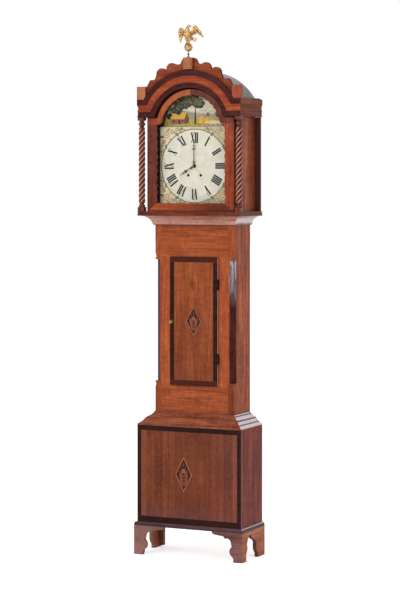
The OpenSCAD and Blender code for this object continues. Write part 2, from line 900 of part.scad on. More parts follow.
module eagle() {
  for (x = [-5, 5]) {
    drawn([x, -2, 0], 4, [x - 1, -1, 16], 6);
    drawn([x, -2, 0], 3, [x, -9, -2], 2.5);
  }
  drawn([-1, 0, 20], 10, [-1, -3, 38], 14);
  drawn([-1, -3, 38], 14, [-2, -2, 52], 9);
  drawn([-3, -3, 52], 8, [3, -5, 67], 7);
  drawn([4, -5, 70], 8, [8, -6, 69], 6);
  drawn([10, -6, 69], 4, [19, -7, 65], 1.2);
  drawn([4, 5, 22], 7, [16, 9, 16], 6);
  drawn([16, 9, 16], 6, [30, 10, 11], 4.5);
  wing([
    [-8, 28], [-8, 50], [-20, 50], [-28, 60], [-37, 64], [-44, 58], [-50, 46], [-47, 28], [-41, 12], [-37, 1],
    [-34, 12], [-32, 12], [-30, 24], [-28, 23], [-26, 34], [-20, 34]
  ]);
  wing([
    [6, 28], [14, 44], [20, 50], [22, 60], [18, 66], [8, 69], [9, 75], [19, 74], [35, 68.5], [47.6, 55.5],
    [56, 41], [63, 28], [68, 18], [59, 23], [59, 28], [52, 30], [51, 36], [45, 36], [43, 42], [36, 40],
    [33, 35], [27, 36], [24, 30], [16, 30]
  ]);
}

module wing(outline) {
  translate([0, 5, 0])
    rotate([90, 0, 0])
      linear_extrude(5)
        polygon(outline);
}

shaft_z0 = 38;
shaft_z1 = 48;

module twist_columns() {
  low = hood_floor;
  shaft = column_h - shaft_z0 - shaft_z1;
  color(red_wood)
    for (side = [-1, 1])
      translate([side * column_x, -column_y, low]) {
        translate([0, 0, shaft_z0])
          twisted_shaft(shaft);
        translate([-column_r, -column_r, glue])
          cube([2 * column_r, 2 * column_r, 18]);
        translate([0, 0, 18])
          rotate_extrude()
            polygon(concat(
              [[0, 0]], arc([column_r - 5, 5], 5, -90, 90, 5), [[column_r - 4, 11], [column_r - 5, 14]],
              arc([column_r - 5, 17], 3, -90, 90, 4), [[0, 20]]
            ));
        translate([0, 0, column_h - shaft_z1])
          rotate_extrude()
            polygon(concat(
              [[0, 0]], arc([column_r - 4, 3], 3, -90, 90, 4), [[column_r - 6, 8]],
              arc([0, 18], column_r, -45, 50, 8), [[column_r - 6, 30], [column_r - 3, 31], [column_r - 3, 34], [0, 34]]
            ));
        translate([-column_r, -column_r, column_h - 14])
          cube([2 * column_r, 2 * column_r, 14 - glue]);
      }
}

// Right-handed rope twist: rounded strands round a core
module twisted_shaft(h) {
  steps = 6 * strands;
  linear_extrude(h, twist = -360 * h / twist_pitch, slices = 60)
    polygon([for (i = [0:steps - 1])
      let (a = 360 * i / steps, bulge = abs(cos(a * strands / 2)))
        (column_r - 4 + 4 * bulge) * [cos(a), sin(a)]]);
}

eye_h = 9;
hood_axis = [hinge_x, hood_door_front];

module hood_hinge_pins() {
  color(brass)
    translate([hood_axis[0], -hood_axis[1], 0]) {
      translate([0, 0, hood_floor])
        cylinder(r = 1.5, h = eye_h + 0.5);
      translate([0, 0, hood_door_shoulder - eye_h - 0.5])
        cylinder(r = 1.5, h = cornice_z - hood_door_shoulder + eye_h + 0.9);
    }
}

/* Hood door */

module hood_door_outline() {
  under_arch(hood_door_r, hood_door_shoulder, hood_door_w / 2, hood_door_low);
}

// The glazed opening, its edge cut into scallops
module hood_door_opening() {
  lobe_r = (scallop_pitch * scallop_pitch / 4 + scallop_depth * scallop_depth) / (2 * scallop_depth);
  inset = lobe_r - scallop_depth;
  tall = arch_z + 18 - hood_opening_low;
  n_side = round(tall / scallop_pitch);
  n_low = round(2 * hood_opening_x / scallop_pitch);
  n_arch = round(180 * (hood_opening_r / 57.3) / scallop_pitch);
  difference() {
    under_arch(hood_opening_r, arch_z + 18, hood_opening_x, hood_opening_low);
    both_sides()
      for (i = [0:n_side - 1])
        translate([hood_opening_x + inset, hood_opening_low + (i + 0.5) * tall / n_side])
          circle(r = lobe_r);
    for (i = [0:n_low - 1])
      translate([-hood_opening_x + (i + 0.5) * 2 * hood_opening_x / n_low, hood_opening_low - inset])
        circle(r = lobe_r);
    for (i = [0:n_arch - 1])
      let (a = 10 + 160 * (i + 0.5) / n_arch)
        translate([0, arch_z] + (hood_opening_r + inset) * [cos(a), sin(a)])
          circle(r = lobe_r);
  }
}

module hood_door_frame() {
  gap = glue / 2;
  rail = hood_opening_low - hood_door_low;
  x = hood_door_w / 2;
  color(mahogany)
    difference() {
      plate(hood_door_front, hood_door_t)
        difference() {
          hood_door_outline();
          hood_door_opening();
          translate([-gap, arch_z])
            square([2 * gap, 400]);
          both_sides() {
            polygon([
              [x + 1, hood_door_low - 1 - gap], [x + 1, hood_door_low - 1 + gap],
              [x - stile_w - 12, hood_door_low + (stile_w + 12) * rail / stile_w + gap],
              [x - stile_w - 12, hood_door_low + (stile_w + 12) * rail / stile_w - gap]
            ]);
            translate([hood_opening_r - 12, arch_z + 16])
              square([120, glue]);
          }
        }
      plate(hood_door_back + 9, 20)
        under_arch(hood_opening_r + 8, arch_z + 22, hood_opening_x + 6, hood_opening_low - 6);
      for (z = [hood_door_low - 1, hood_door_shoulder - eye_h - 1])
        translate([hood_axis[0], -hood_axis[1], z])
          cylinder(r = 6.4, h = eye_h + 2);
      for (z = [hood_door_low, hood_door_shoulder - 2])
        board(x - 30.2, x + 1, hood_door_back + 5, hood_door_back + 15, z - 0.2, z + 2.2);
    }
}

module hood_door_glass() {
  color(cream, 0.3)
    plate(hood_door_back + 8.9, 2)
      under_arch(hood_opening_r + 7.5, arch_z + 21.5, hood_opening_x + 5.5, hood_opening_low - 5.5);
}

module hood_door_hinges() {
  x = hood_door_w / 2;
  color(brass) {
    for (z = [hood_door_low, hood_door_shoulder - eye_h])
      difference() {
        translate([hood_axis[0], -hood_axis[1], z])
          cylinder(r = 4, h = eye_h);
        translate([hood_axis[0], -hood_axis[1], z - 1])
          cylinder(r = 1.55, h = eye_h + 2);
      }
    for (z = [hood_door_low, hood_door_shoulder - 2])
      difference() {
        union() {
          board(x - 30, x + 3, hood_door_back + 5.2, hood_door_back + 14.8, z, z + 2);
          board(x, x + 3, hood_door_back + 5.2, hood_door_front - 2, z, z + 2);
        }
        translate([hood_axis[0], -hood_axis[1], z - 1])
          cylinder(r = 1.55, h = 4);
      }
    difference() {
      plate(hood_door_front + 0.7, 0.7 - glue / 2)
        translate([-x + 14, (hood_door_low + hood_door_shoulder) / 2 + 8])
          circle(r = 5);
      rod([-x + 14, (hood_door_low + hood_door_shoulder) / 2 + 8], 1.6, hood_door_front - 1, hood_door_front + 2);
    }
  }
}

/* Movement */

bore_gap = 0.08;
pivot_r = 1.5;

module movement_frame() {
  color(brass) {
    difference() {
      union()
        for (front = [back_plate + plate_t, front_plate])
          plate(front, plate_t)
            translate([-plate_w / 2, plates_z])
              square([plate_w, plate_h]);
      for (at = [centre_at, third_at, escape_at, pallet_at, pin_at, locking_at, fly_at, hammer_at])
        rod(at, pivot_r + bore_gap, back_plate - 1, front_plate + 1);
      for (at = [going_at, strike_at])
        rod(at, 3 + bore_gap, back_plate - 1, front_plate + 1);
      rod(centre_at, 2 + bore_gap, space_high - 1, front_plate + 1);
    }
    for (x = [-1, 1], z = [plates_z + 9, plates_z + plate_h - 8])
      pillar([x * (plate_w / 2 - 8), z]);
    rod(motion_at, 1, front_plate, front_plate + 12);
  }
}

// A turned pillar between the plates
module pillar(at) {
  translate([at[0], -space_low - glue, at[1]])
    rotate([90, 0, 0])
      rotate_extrude()
        polygon([
          [0, 0], [7, 0], [7, 3], [4, 6], [4, 24], [6, 28], [6, plate_space - 28], [4, plate_space - 24],
          [4, plate_space - 6], [7, plate_space - 3], [7, plate_space - 2 * glue], [0, plate_space - 2 * glue]
        ]);
}

module false_plate() {
  front = front_plate + 15;
  color(iron) {
    difference() {
      plate(front, 2)
        translate([-70, dial_z - 74])
          square([140, 148]);
      rod(centre_at, 43, front - 3, front + 1);
      for (at = [going_at, strike_at])
        rod(at, 8, front - 3, front + 1);
    }
    for (x = [-1, 1], z = [dial_z - 62, dial_z + 62]) {
      rod([x * 62, z], 3, front_plate + glue, front - 2);
      rod([x * 62, z], 3, front, dial_back - glue);
    }
  }
}

module dial_plate() {
  color(cream)
    difference() {
      plate(dial_front, dial_t)
        under_arch(dial_arch_r, dial_z + dial_w / 2, dial_w / 2, dial_z - dial_w / 2);
      rod(centre_at, 6, dial_back - 1, dial_front + 1);
      for (at = [going_at, strike_at])
        rod(at, 6, dial_back - 1, dial_front + 1);
    }
}

// Outline of a toothed wheel; a tooth or a gap, as told, points along the bearing
module toothed(teeth, mod, add, ded, tip, root, aim, on_tooth) {
  pitch = 360 / teeth;
  r = mod * teeth / 2;
  start = aim + (on_tooth ? 0 : pitch / 2);
  polygon([
    for (i = [0:teeth - 1], p = [[-root, -ded], [-tip, add], [tip, add], [root, -ded]])
      (r + p[1] * mod) * [cos(start + (i + p[0] / 2) * pitch), sin(start + (i + p[0] / 2) * pitch)]
  ]);
}

// A wheel with crossings, from its back face forwards
module wheel(at, teeth, mod, back, thick, aim, hole = 0, rim = 4, spokes = 4, web = true) {
  r = mod * teeth / 2;
  plate(back + thick, thick)
    translate(at)
      difference() {
        toothed(teeth, mod, 0.7, 1.1, 0.2, 0.56, aim, false);
        if (web)
          difference() {
            circle(r = r - rim);
            circle(r = 7);
            for (i = [0:spokes / 2 - 1])
              rotate(45 + 360 / spokes * i)
                square([2 * r, 3], center = true);
          }
        if (hole > 0)
          circle(r = hole);
      }
}

module pinion(at, leaves, mod, back, front, aim, hole = 0) {
  plate(front, front - back)
    translate(at)
      difference() {
        toothed(leaves, mod, 0.5, 1.1, 0.2, 0.42, aim, true);
        if (hole > 0)
          circle(r = hole);
      }
}

// An arbor from plate to plate with its pivots
module arbor(at, r) {
  rod(at, max(r, pivot_r + 0.3), space_low + 0.3, space_high - 0.3);
  rod(at, pivot_r, back_plate, front_plate);
}

// Wheel and pinion places between the plates, as depths of their back faces
going_wheel_y = space_low + 3;
strike_wheel_y = space_high - 8;
centre_wheel_y = space_low + 40;
third_wheel_y = space_low + 20;
escape_wheel_y = space_low + 26;
pin_wheel_y = space_low + 35;
locking_wheel_y = escape_wheel_y + 3.5;
cannon_y = front_plate + 3;
hour_y = cannon_y + 5;

module centre_wheel() {
  color(brass) {
    arbor(centre_at, 2);
    rod(centre_at, 2, space_high - 1, dial_front + 13);
    pinion(centre_at, pinion_leaves, great_mod, going_wheel_y - 1, going_wheel_y + 4, bearing(centre_at, going_at));
    wheel(centre_at, centre_teeth, centre_mod, centre_wheel_y, 2, bearing(centre_at, third_at));
    rod(centre_at, cannon_r, cannon_y - 1, dial_front + 10);
    pinion_wheel(centre_at, motion_teeth, motion_mod, cannon_y, 2, bearing(centre_at, motion_at), false);
  }
}

// A small wheel with solid web, used in the motion work under the dial
module pinion_wheel(at, teeth, mod, back, thick, aim, on_tooth, hole = 0) {
  plate(back + thick, thick)
    translate(at)
      difference() {
        toothed(teeth, mod, 0.6, 1.1, 0.2, 0.5, aim, on_tooth);
        if (hole > 0)
          circle(r = hole);
      }
}

hand_t = 1;
cannon_r = 3.2;
pipe_bore = cannon_r + bore_gap;
minute_y = dial_front + 7;
hour_hand_y = dial_front + 3.5;

// A slim hand with a cross near its tip; it points up before it is turned
module hand(len, hub, hole, cross_at) {
  difference() {
    union() {
      circle(r = hub);
      polygon([[-1.6, 0], [1.6, 0], [1.1, cross_at - 12], [0.8, len], [-0.8, len], [-1.1, cross_at - 12]]);
      translate([0, cross_at])
        square([11, 2], center = true);
      translate([0, cross_at])
        circle(r = 2.4);
      both_sides()
        translate([2.6, cross_at - 14])
          difference() {
            circle(r = 4.4);
            circle(r = 2.6);
          }
      translate([0, 16])
        difference() {
          circle(r = 5);
          circle(r = 3);
        }
    }
    circle(r = hole);
  }
}

module minute_hand() {
  color(steel)
    plate(minute_y + hand_t, hand_t)
      translate(centre_at)
        hand(minute_len, 6.5, cannon_r + 0.05, minute_len - 26);
}

module hour_hand() {
  color(steel)
    plate(hour_hand_y + hand_t, hand_t)
      translate(centre_at)
        rotate(120)
          hand(hour_len, 8, 5.05, hour_len - 18);
}

module hour_wheel() {
  color(brass) {
    wheel(centre_at, hour_teeth, hour_mod, hour_y, 2, bearing(centre_at, motion_at), pipe_bore);
    difference() {
      rod(centre_at, 5, hour_y, hour_hand_y + 2);
      rod(centre_at, pipe_bore, hour_y - 1, hour_hand_y + 3);
    }
    plate(hour_y + 5, 2)
      translate(centre_at)
        difference() {
          polygon([for (i = [0:47]) (11 + 7 * (i - i % 4) / 48) * [cos(7.5 * i), sin(7.5 * i)]]);
          circle(r = pipe_bore);
        }
  }
}

module minute_wheel() {
  aim = bearing(motion_at, centre_at);
  color(brass) {
    pinion_wheel(motion_at, motion_teeth, motion_mod, cannon_y, 2, aim, true, 1.1);
    pinion(motion_at, hour_leaves, hour_mod, cannon_y + 2, hour_y + 3, aim, 1.1);
  }
}

module third_wheel() {
  color(brass) {
    arbor(third_at, 1.8);
    pinion(third_at, pinion_leaves, centre_mod, centre_wheel_y - 2, centre_wheel_y + 4, bearing(third_at, centre_at));
    wheel(third_at, third_teeth, third_mod, third_wheel_y, 2, bearing(third_at, escape_at));
  }
}

module escape_wheel() {
  color(brass) {
    arbor(escape_at, 1.8);
    pinion(escape_at, escape_leaves, third_mod, third_wheel_y - 2, third_wheel_y + 4, bearing(escape_at, third_at));
    plate(escape_wheel_y + 1.5, 1.5)
      translate(escape_at)
        difference() {
          polygon([for (i = [0:escape_teeth - 1], p = [[0, 0], [0.12, 0], [0.85, -4]])
            let (a = 360 / escape_teeth * (i + p[0])) (escape_r + p[1]) * [cos(a), sin(a)]]);
          difference() {
            circle(r = escape_r - 6.5);
            circle(r = 4.5);
            for (i = [0:1])
              rotate(45 + 90 * i)
                square([2 * escape_r, 2.4], center = true);
          }
        }
  }
}

cock_front = back_plate - 14;
bob_y = 40;

module pallets() {
  reach = escape_r + 1.4;
  color(steel) {
    rod(pallet_at, 1.8, space_low + 0.3, space_high - 0.3);
    rod(pallet_at, pivot_r, cock_front - 1, front_plate);
    plate(escape_wheel_y + 2, 2.5)
      difference() {
        union() {
          translate(pallet_at)
            circle(r = 5);
          both_sides()
            polygon([
              pallet_at + [0, 4], pallet_at + [12, -2], escape_at + reach * [cos(38), sin(38)] + [4, 2],
              escape_at + reach * [cos(42), sin(42)], pallet_at + [9, -6], pallet_at + [0, -3]
            ]);
        }
        translate(escape_at)
          circle(r = reach - 0.2);
      }
    rod(pallet_at, 4, back_plate - 8, back_plate - 4);
    board(-1.4, 1.4, back_plate - 7.5, back_plate - 4.5, pallet_at[1] - 98, pallet_at[1]);
    difference() {
      board(-8, 8, bob_y - 5, back_plate - 4.5, pallet_at[1] - 106, pallet_at[1] - 98);
      board(-2.9, 2.9, bob_y - 6, bob_y + 6, pallet_at[1] - 107, pallet_at[1] - 97);
    }
  }
}

module pendulum_cock() {
  z = pallet_at[1];
  color(brass)
    difference() {
      union() {
        both_sides()
          board(26, 32, cock_front, back_plate - glue, z - 9, z + 16);
        board(-32, 32, cock_front, cock_front + 3, z - 9, z + 16);
        board(-7, 7, bob_y - 5, cock_front, z + 6, z + 14);
      }
      rod([0, z], pivot_r + bore_gap, cock_front - 6, back_plate);
      board(-0.9, 0.9, bob_y - 6, bob_y + 5, z, z + 17);
    }
}

module pendulum() {
  z = pallet_at[1];
  bob_z = z - pendulum_len;
  color(steel) {
    board(-0.2, 0.2, bob_y - 4, bob_y + 4, z - 20, z + 15);
    board(-5, 5, bob_y - 4.5, bob_y + 4.5, z + 14.4, z + 19);
    board(-3, 3, bob_y - 3, bob_y + 3, z - 32, z - 19);
    translate([0, -bob_y, bob_z - bob_r - 34])
      cylinder(r = 2.5, h = z - 30 - bob_z + bob_r + 34);
  }
  color(brass) {
    translate([0, -bob_y, bob_z])
      rotate([90, 0, 0])
        rotate_extrude($fn = 96)
          lens_outline();
    translate([0, -bob_y, bob_z - bob_r - 20])
      cylinder(r = 9, h = 7);
  }
}

// Half the section of the bob, two arcs that meet in a thin edge
module lens_outline() {
  half = bob_t / 2 - 1;
  big = (bob_r * bob_r + half * half) / (2 * half);
  intersection() {
    translate([0, half + 1 - big])
      circle(r = big, $fn = 256);
    translate([0, big - half - 1])
      circle(r = big, $fn = 256);
    translate([0, -bob_t])
      square([bob_r, 2 * bob_t]);
  }
}

// A barrel with its flanges, its arbor and the square for the winding key
module barrel_unit(at, low, high) {
  square_w = 4.2;
  color(brass)
    difference() {
      union() {
        rod(at, barrel_r, low + 2, high - 2);
        rod(at, barrel_r + 2, low, low + 2);
        rod(at, barrel_r + 2, high - 2, high);
      }
      translate([at[0], -line_y, at[1] + barrel_r - 6])
        cylinder(r = 1.2, h = 8);
    }
  color(steel) {
    rod(at, 3, back_plate, front_plate + 4);
    board(at[0] - square_w / 2, at[0] + square_w / 2, front_plate + 3, dial_front + 1,
      at[1] - square_w / 2, at[1] + square_w / 2);
  }
}

module going_great_wheel() {
  color(brass)
    wheel(going_at, great_teeth, great_mod, going_wheel_y, 3, bearing(going_at, centre_at), 3.1, 5);
}

module strike_great_wheel() {
  color(brass)
    wheel(strike_at, great_teeth, strike_mod, strike_wheel_y, 3, bearing(strike_at, pin_at), 3.1, 5);
}

module going_barrel() {
  barrel_unit(going_at, going_wheel_y + 5, strike_wheel_y - 2);
}

module strike_barrel() {
  barrel_unit(strike_at, going_wheel_y + 6, strike_wheel_y - 2);
}

module pin_wheel() {
  pins = 8;
  color(brass) {
    arbor(pin_at, 1.8);
    pinion(pin_at, pinion_leaves, strike_mod, strike_wheel_y - 2, strike_wheel_y + 5, bearing(pin_at, strike_at));
    wheel(pin_at, pin_teeth, pin_mod, pin_wheel_y, 2, bearing(pin_at, locking_at));
    for (i = [0:pins - 1])
      rod(pin_at + (pin_r - 3) * [cos(360 / pins * i), sin(360 / pins * i)], 0.8, pin_wheel_y - 2, pin_wheel_y + 0.5);
  }
}

module locking_wheel() {
  color(brass) {
    arbor(locking_at, 1.6);
    pinion(locking_at, pinion_leaves, pin_mod, pin_wheel_y - 1.5, pin_wheel_y + 3.5, bearing(locking_at, pin_at));
    wheel(locking_at, locking_teeth, locking_mod, locking_wheel_y, 1.5, bearing(locking_at, fly_at), 0, 3.5);
  }
}

module fly() {
  vane = 13;
  color(brass) {
    arbor(fly_at, 1.4);
    pinion(fly_at, escape_leaves, locking_mod, locking_wheel_y - 1.5, locking_wheel_y + 3, bearing(fly_at, locking_at));
    board(fly_at[0] - vane, fly_at[0] + vane, space_low + 2, space_low + 20, fly_at[1] - 0.5, fly_at[1] + 0.5);
  }
}

head_at = [-bell_r - 9, bell_z + 5];

module hammer() {
  color(steel) {
    arbor(hammer_at, 1.8);
    hull() {
      rod(hammer_at, 2.6, line_y - 1, line_y + 1);
      rod(head_at, 1.6, line_y - 1, line_y + 1);
    }
    rod(head_at, 6, line_y - 6, line_y + 6);
  }
}

module bell() {
  wall = 3;
  color(brass)
    translate([0, -line_y, bell_z])
      rotate_extrude($fn = 96)
        intersection() {
          difference() {
            circle(r = bell_r);
            circle(r = bell_r - wall);
          }
          square(bell_r + 1);
        }
  color(steel) {
    translate([0, -line_y, plates_z + plate_h + 1])
      cylinder(r = 3, h = bell_z + bell_r - wall - glue - plates_z - plate_h - 1);
    translate([0, -line_y, bell_z + bell_r + glue])
      cylinder(r = 6, h = 5, $fn = 6);
    board(-7, 7, back_plate, line_y + 6, plates_z + plate_h + glue, plates_z + plate_h + 4);
  }
}

/* Lines, pulleys and weights */

module strand(x, z0, z1) {
  translate([x, -line_y, z0])
    cylinder(r = line_d / 2, h = z1 - z0);
}

module line_leads() {
  fall = barrel_x + line_x;
  anchor = fall + 2 * pulley_r;
  toggle_r = 2.5;
  color(pine)
    both_sides() {
      strand(fall + 0.2, seat_z + glue, barrel_z);
      strand(anchor, seat_z + glue, seat_top + 1);
      translate([anchor, -line_y, seat_top + glue + toggle_r])
        rotate([0, 90, 0])
          cylinder(r = toggle_r, h = 20, center = true);
    }
}

module line_pair(side) {
  color(pine)
    for (x = [barrel_x + line_x, barrel_x + line_x + 2 * pulley_r])
      strand(side * (x + 0.2 * (x < pulley_x ? 1 : 0)), pulley_z, seat_z);
}

module pulley(side) {
  color(brass)
    translate([side * pulley_x, -line_y, pulley_z])
      rotate([90, 0, 0])
        difference() {
          rotate_extrude()
            polygon([
              [0, -4], [pulley_r + 3, -4], [pulley_r + 3, -3], [pulley_r - 1.4, -1], [pulley_r - 1.4, 1],
              [pulley_r + 3, 3], [pulley_r + 3, 4], [0, 4]
            ]);
          cylinder(r = 2.1, h = 20, center = true);
        }
}

// A weight with its hook and the pulley's block and pin
module weight(side) {
  x = side * pulley_x;
  strap_low = weight_top + 14;
  color(steel) {
    for (y = [-1, 1])
      translate([x - 5, -line_y + y * 6 - 0.75, strap_low])
        cube([10, 1.5, pulley_z + 7 - strap_low]);
    translate([x - 5, -line_y - 6.75, strap_low])
      cube([10, 13.5, 4]);
    translate([x, -line_y, pulley_z])
      rotate([90, 0, 0])
        cylinder(r = 2, h = 13, center = true);
    translate([x, -line_y, weight_top - 1])
      cylinder(r = 2.4, h = strap_low - weight_top + 2);
  }
  color(iron)
    translate([x, -line_y, weight_low])
      difference() {
        cylinder(r = weight_r, h = weight_h, $fn = 72);
        translate([0, 0, weight_h - 5])
          difference() {
            cylinder(r = weight_r + 1, h = 6);
            cylinder(r1 = weight_r, r2 = weight_r - 6, h = 6);
          }
      }
}

// The whole clock, moved so that its box is centred over the origin
module place() {
  translate([0, clock_d / 2, 0])
    children();
}

place() backboard();
place() base_front_panel();
place() base_inlays();
place() base_carcass();
place() base_mouldings();
place() bracket_feet();
place() trunk_sides();
place() trunk_corner_posts();
place() trunk_front_frame();
place() throat_moulding();
place() seatboard();
place() trunk_hinges();
place() trunk_door_panel();
place() trunk_door_inlays();
place() trunk_door_lock();
place() trunk_lock_bolt();
place() trunk_key();
place() hood_base_frame();
place() hood_front_frame();
place() hood_sides();
place() hood_roof();
place() cornice_dark_bands();
place() cornice_cove();
place() cresting_board();
place() cresting_blocks();
place() eagle_finial();
place() twist_columns();
place() hood_hinge_pins();
place() hood_door_frame();
place() hood_door_glass();
place() hood_door_hinges();
place() movement_frame();
place() false_plate();
place() dial_plate();
place() centre_wheel();
place() minute_hand();
place() hour_wheel();
place() hour_hand();
place() minute_wheel();
place() third_wheel();
place() escape_wheel();
place() pallets();
place() pendulum_cock();
place() pendulum();
place() going_great_wheel();
place() going_barrel();
place() line_pair(1);  // going_line
place() pulley(1);  // going_pulley
place() weight(1);  // going_weight
place() strike_great_wheel();
place() strike_barrel();
place() line_pair(-1);  // strike_line
place() pulley(-1);  // strike_pulley
place() weight(-1);  // strike_weight
place() pin_wheel();
place() locking_wheel();
place() fly();
place() hammer();
place() bell();
place() line_leads();
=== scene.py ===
import math
import random

import bmesh
import bpy
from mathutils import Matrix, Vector


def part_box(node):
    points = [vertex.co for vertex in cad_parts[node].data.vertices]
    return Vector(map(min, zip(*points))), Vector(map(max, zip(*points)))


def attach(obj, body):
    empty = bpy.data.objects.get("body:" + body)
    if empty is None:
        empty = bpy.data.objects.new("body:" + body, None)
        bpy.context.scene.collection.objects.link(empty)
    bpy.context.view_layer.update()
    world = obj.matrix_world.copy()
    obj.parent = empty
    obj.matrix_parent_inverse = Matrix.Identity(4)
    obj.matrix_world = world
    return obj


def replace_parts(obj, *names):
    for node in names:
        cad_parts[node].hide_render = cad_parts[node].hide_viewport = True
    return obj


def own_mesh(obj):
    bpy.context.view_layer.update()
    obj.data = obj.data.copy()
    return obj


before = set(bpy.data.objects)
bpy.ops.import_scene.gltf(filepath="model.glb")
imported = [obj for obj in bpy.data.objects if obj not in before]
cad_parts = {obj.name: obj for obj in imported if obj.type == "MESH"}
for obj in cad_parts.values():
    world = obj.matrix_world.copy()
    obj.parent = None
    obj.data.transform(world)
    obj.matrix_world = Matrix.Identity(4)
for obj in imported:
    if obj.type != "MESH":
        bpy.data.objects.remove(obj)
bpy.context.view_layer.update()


# Bracket feet and base mouldings. Sawn and shaped mahogany boards with a thin ovolo on top,
# stained dark, edges pale as wear and painted highlight; the slope above them is built up in two shallow
# steps.
def colour(code):
    """An sRGB hex colour as linear red, green, blue and alpha."""
    parts = [int(code[i : i + 2], 16) / 255 for i in (1, 3, 5)]
    return tuple(p / 12.92 if p <= 0.04045 else ((p + 0.055) / 1.055) ** 2.4 for p in parts) + (1.0,)


def add(mat, kind, *inputs, named=None, output=None, **settings):
    """Adds a node with its settings and inputs, values or links in order or named, and gives an output."""
    node = mat.node_tree.nodes.new("ShaderNode" + kind)
    for key, value in settings.items():
        setattr(node, key, value)
    open_inputs = [socket for socket in node.inputs if socket.enabled]
    for socket, value in [
        *zip(open_inputs, inputs), *((node.inputs[key], v) for key, v in (named or {}).items()),
    ]:
        if isinstance(value, bpy.types.NodeSocket):
            mat.node_tree.links.new(value, socket)
        elif value is not None:
            socket.default_value = value
    return node.outputs[output] if output else next(socket for socket in node.outputs if socket.enabled)


def new_material(name):
    """A material with only its Principled surface, and that surface."""
    mat = bpy.data.materials.new(name)
    mat.use_nodes = True
    return mat, mat.node_tree.nodes["Principled BSDF"]


def place_of(mat):
    """The place on the piece in metres, as a vector and as x, y and z."""
    place = add(mat, "TexCoord", output="Object")
    return place, add(mat, "SeparateXYZ", place).node.outputs


def streaks(mat, place, grain, across, along, seed, detail=5.0, wander=0.4):
    """Noise drawn out along the grain; across and along are its real sizes in metres."""
    size = [1 / across] * 3
    size["xyz".index(grain)] = 1 / along
    shifted = add(
        mat, "Mapping", named={"Vector": place, "Location": (seed, seed * 0.7, seed * 1.3), "Scale": size}
    )
    return add(
        mat,
        "TexNoise",
        named={"Vector": shifted, "Scale": 1.0, "Detail": detail, "Roughness": 0.6, "Distortion": wander},
    )


def grain_colour(mat, place, grain, tones, seed, figure=0.030, stripe=0.0055):
    """Wood colour from a broad figure, ribbon stripes and dark pores, drawn coarse enough to show."""
    broad = streaks(mat, place, grain, figure, figure * 9, seed, 3.0, 0.8)
    ribbon = streaks(mat, place, grain, stripe, stripe * 26, seed + 3.1, 6.0, 0.25)
    mottle = streaks(mat, place, grain, figure * 1.6, figure * 0.8, seed + 7.7, 2.0, 1.2)
    pores = streaks(mat, place, grain, 0.0016, 0.022, seed + 5.3, 2.0, 0.0)
    tone = add(
        mat,
        "Math",
        broad,
        0.55,
        add(mat, "Math", ribbon, 0.45, operation="MULTIPLY"),
        operation="MULTIPLY_ADD",
    )
    curl = streaks(mat, place, grain, 0.007, 0.017, seed + 9.1, 2.0, 0.8)
    both = add(
        mat,
        "Math",
        mottle,
        0.24,
        add(mat, "Math", curl, 0.20, operation="MULTIPLY"),
        operation="MULTIPLY_ADD",
    )
    tone = add(mat, "Math", both, add(mat, "Math", tone, 0.22, operation="SUBTRACT"), operation="ADD")
    ramp = add(mat, "ValToRGB", tone)
    ramp.node.color_ramp.elements[0].position = 0.30
    ramp.node.color_ramp.elements[0].color = colour(tones[0])
    ramp.node.color_ramp.elements[1].position = 0.70
    ramp.node.color_ramp.elements[1].color = colour(tones[2])
    middle = ramp.node.color_ramp.elements.new(0.5)
    middle.color = colour(tones[1])
    flecks = add(mat, "MapRange", pores, 0.60, 0.72, 0.0, 0.45)
    return add(mat, "Mix", flecks, ramp, colour(tones[0]), data_type="RGBA"), ribbon, pores


def polish(mat, surface, tint, ribbon, pores, gloss, soften=0.0012, shine=0.2, coat=0.05, corner_shade=0.55):
    """French polish: soft shine, painted shade in corners, edges pale as wear and painted highlight, low
    grain.
    """
    # Edges are tinted pale, partly wear and partly a painted highlight
    eased = add(mat, "Bevel", soften, samples=4)
    true = add(mat, "NewGeometry", output="True Normal")
    turn = add(mat, "VectorMath", eased, true, operation="DOT_PRODUCT")
    edge_wear_and_highlight = add(mat, "MapRange", turn, 0.80, 0.985, 0.28, 0.0)
    tint = add(mat, "Mix", edge_wear_and_highlight, tint, colour("#b98367"), data_type="RGBA")
    # Painted shade: the wood darkens in corners and recesses, as far as nearby faces hide it
    corner = add(mat, "AmbientOcclusion", None, 0.012, samples=4, output="AO")
    painted_corner_shade = add(mat, "MapRange", corner, 0.25, 0.85, corner_shade, 0.0)
    surface.inputs["Specular IOR Level"].default_value = shine
    surface.inputs["Coat Weight"].default_value = coat
    surface.inputs["Coat Roughness"].default_value = 0.12
    rough = add(mat, "MapRange", ribbon, 0.0, 1.0, gloss - 0.05, gloss + 0.14)
    relief = add(mat, "Bump", named={"Height": pores, "Normal": eased, "Strength": 0.12, "Distance": 0.0006})
    links = mat.node_tree.links
    links.new(add(mat, "Mix", painted_corner_shade, tint, colour("#1c0b06"), data_type="RGBA"), surface.inputs["Base Color"])
    links.new(rough, surface.inputs["Roughness"])
    links.new(relief, surface.inputs["Normal"])
    links.new(eased, surface.inputs["Coat Normal"])


def masked(mat, *steps):
    """The product of comparisons, each a value, how it is compared and a limit."""
    share = None
    for value, how, limit in steps:
        found = add(mat, "Math", value, limit, operation=how)
        share = found if share is None else add(mat, "Math", share, found, operation="MULTIPLY")
    return share


def facing(mat):
    """Which way the piece faces there, as x, y and z."""
    return add(mat, "SeparateXYZ", add(mat, "TexCoord", output="Normal")).node.outputs


def dress(mat, *nodes):
    """Gives CAD nodes their material."""
    for name in nodes:
        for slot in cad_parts[name].material_slots:
            slot.material = mat


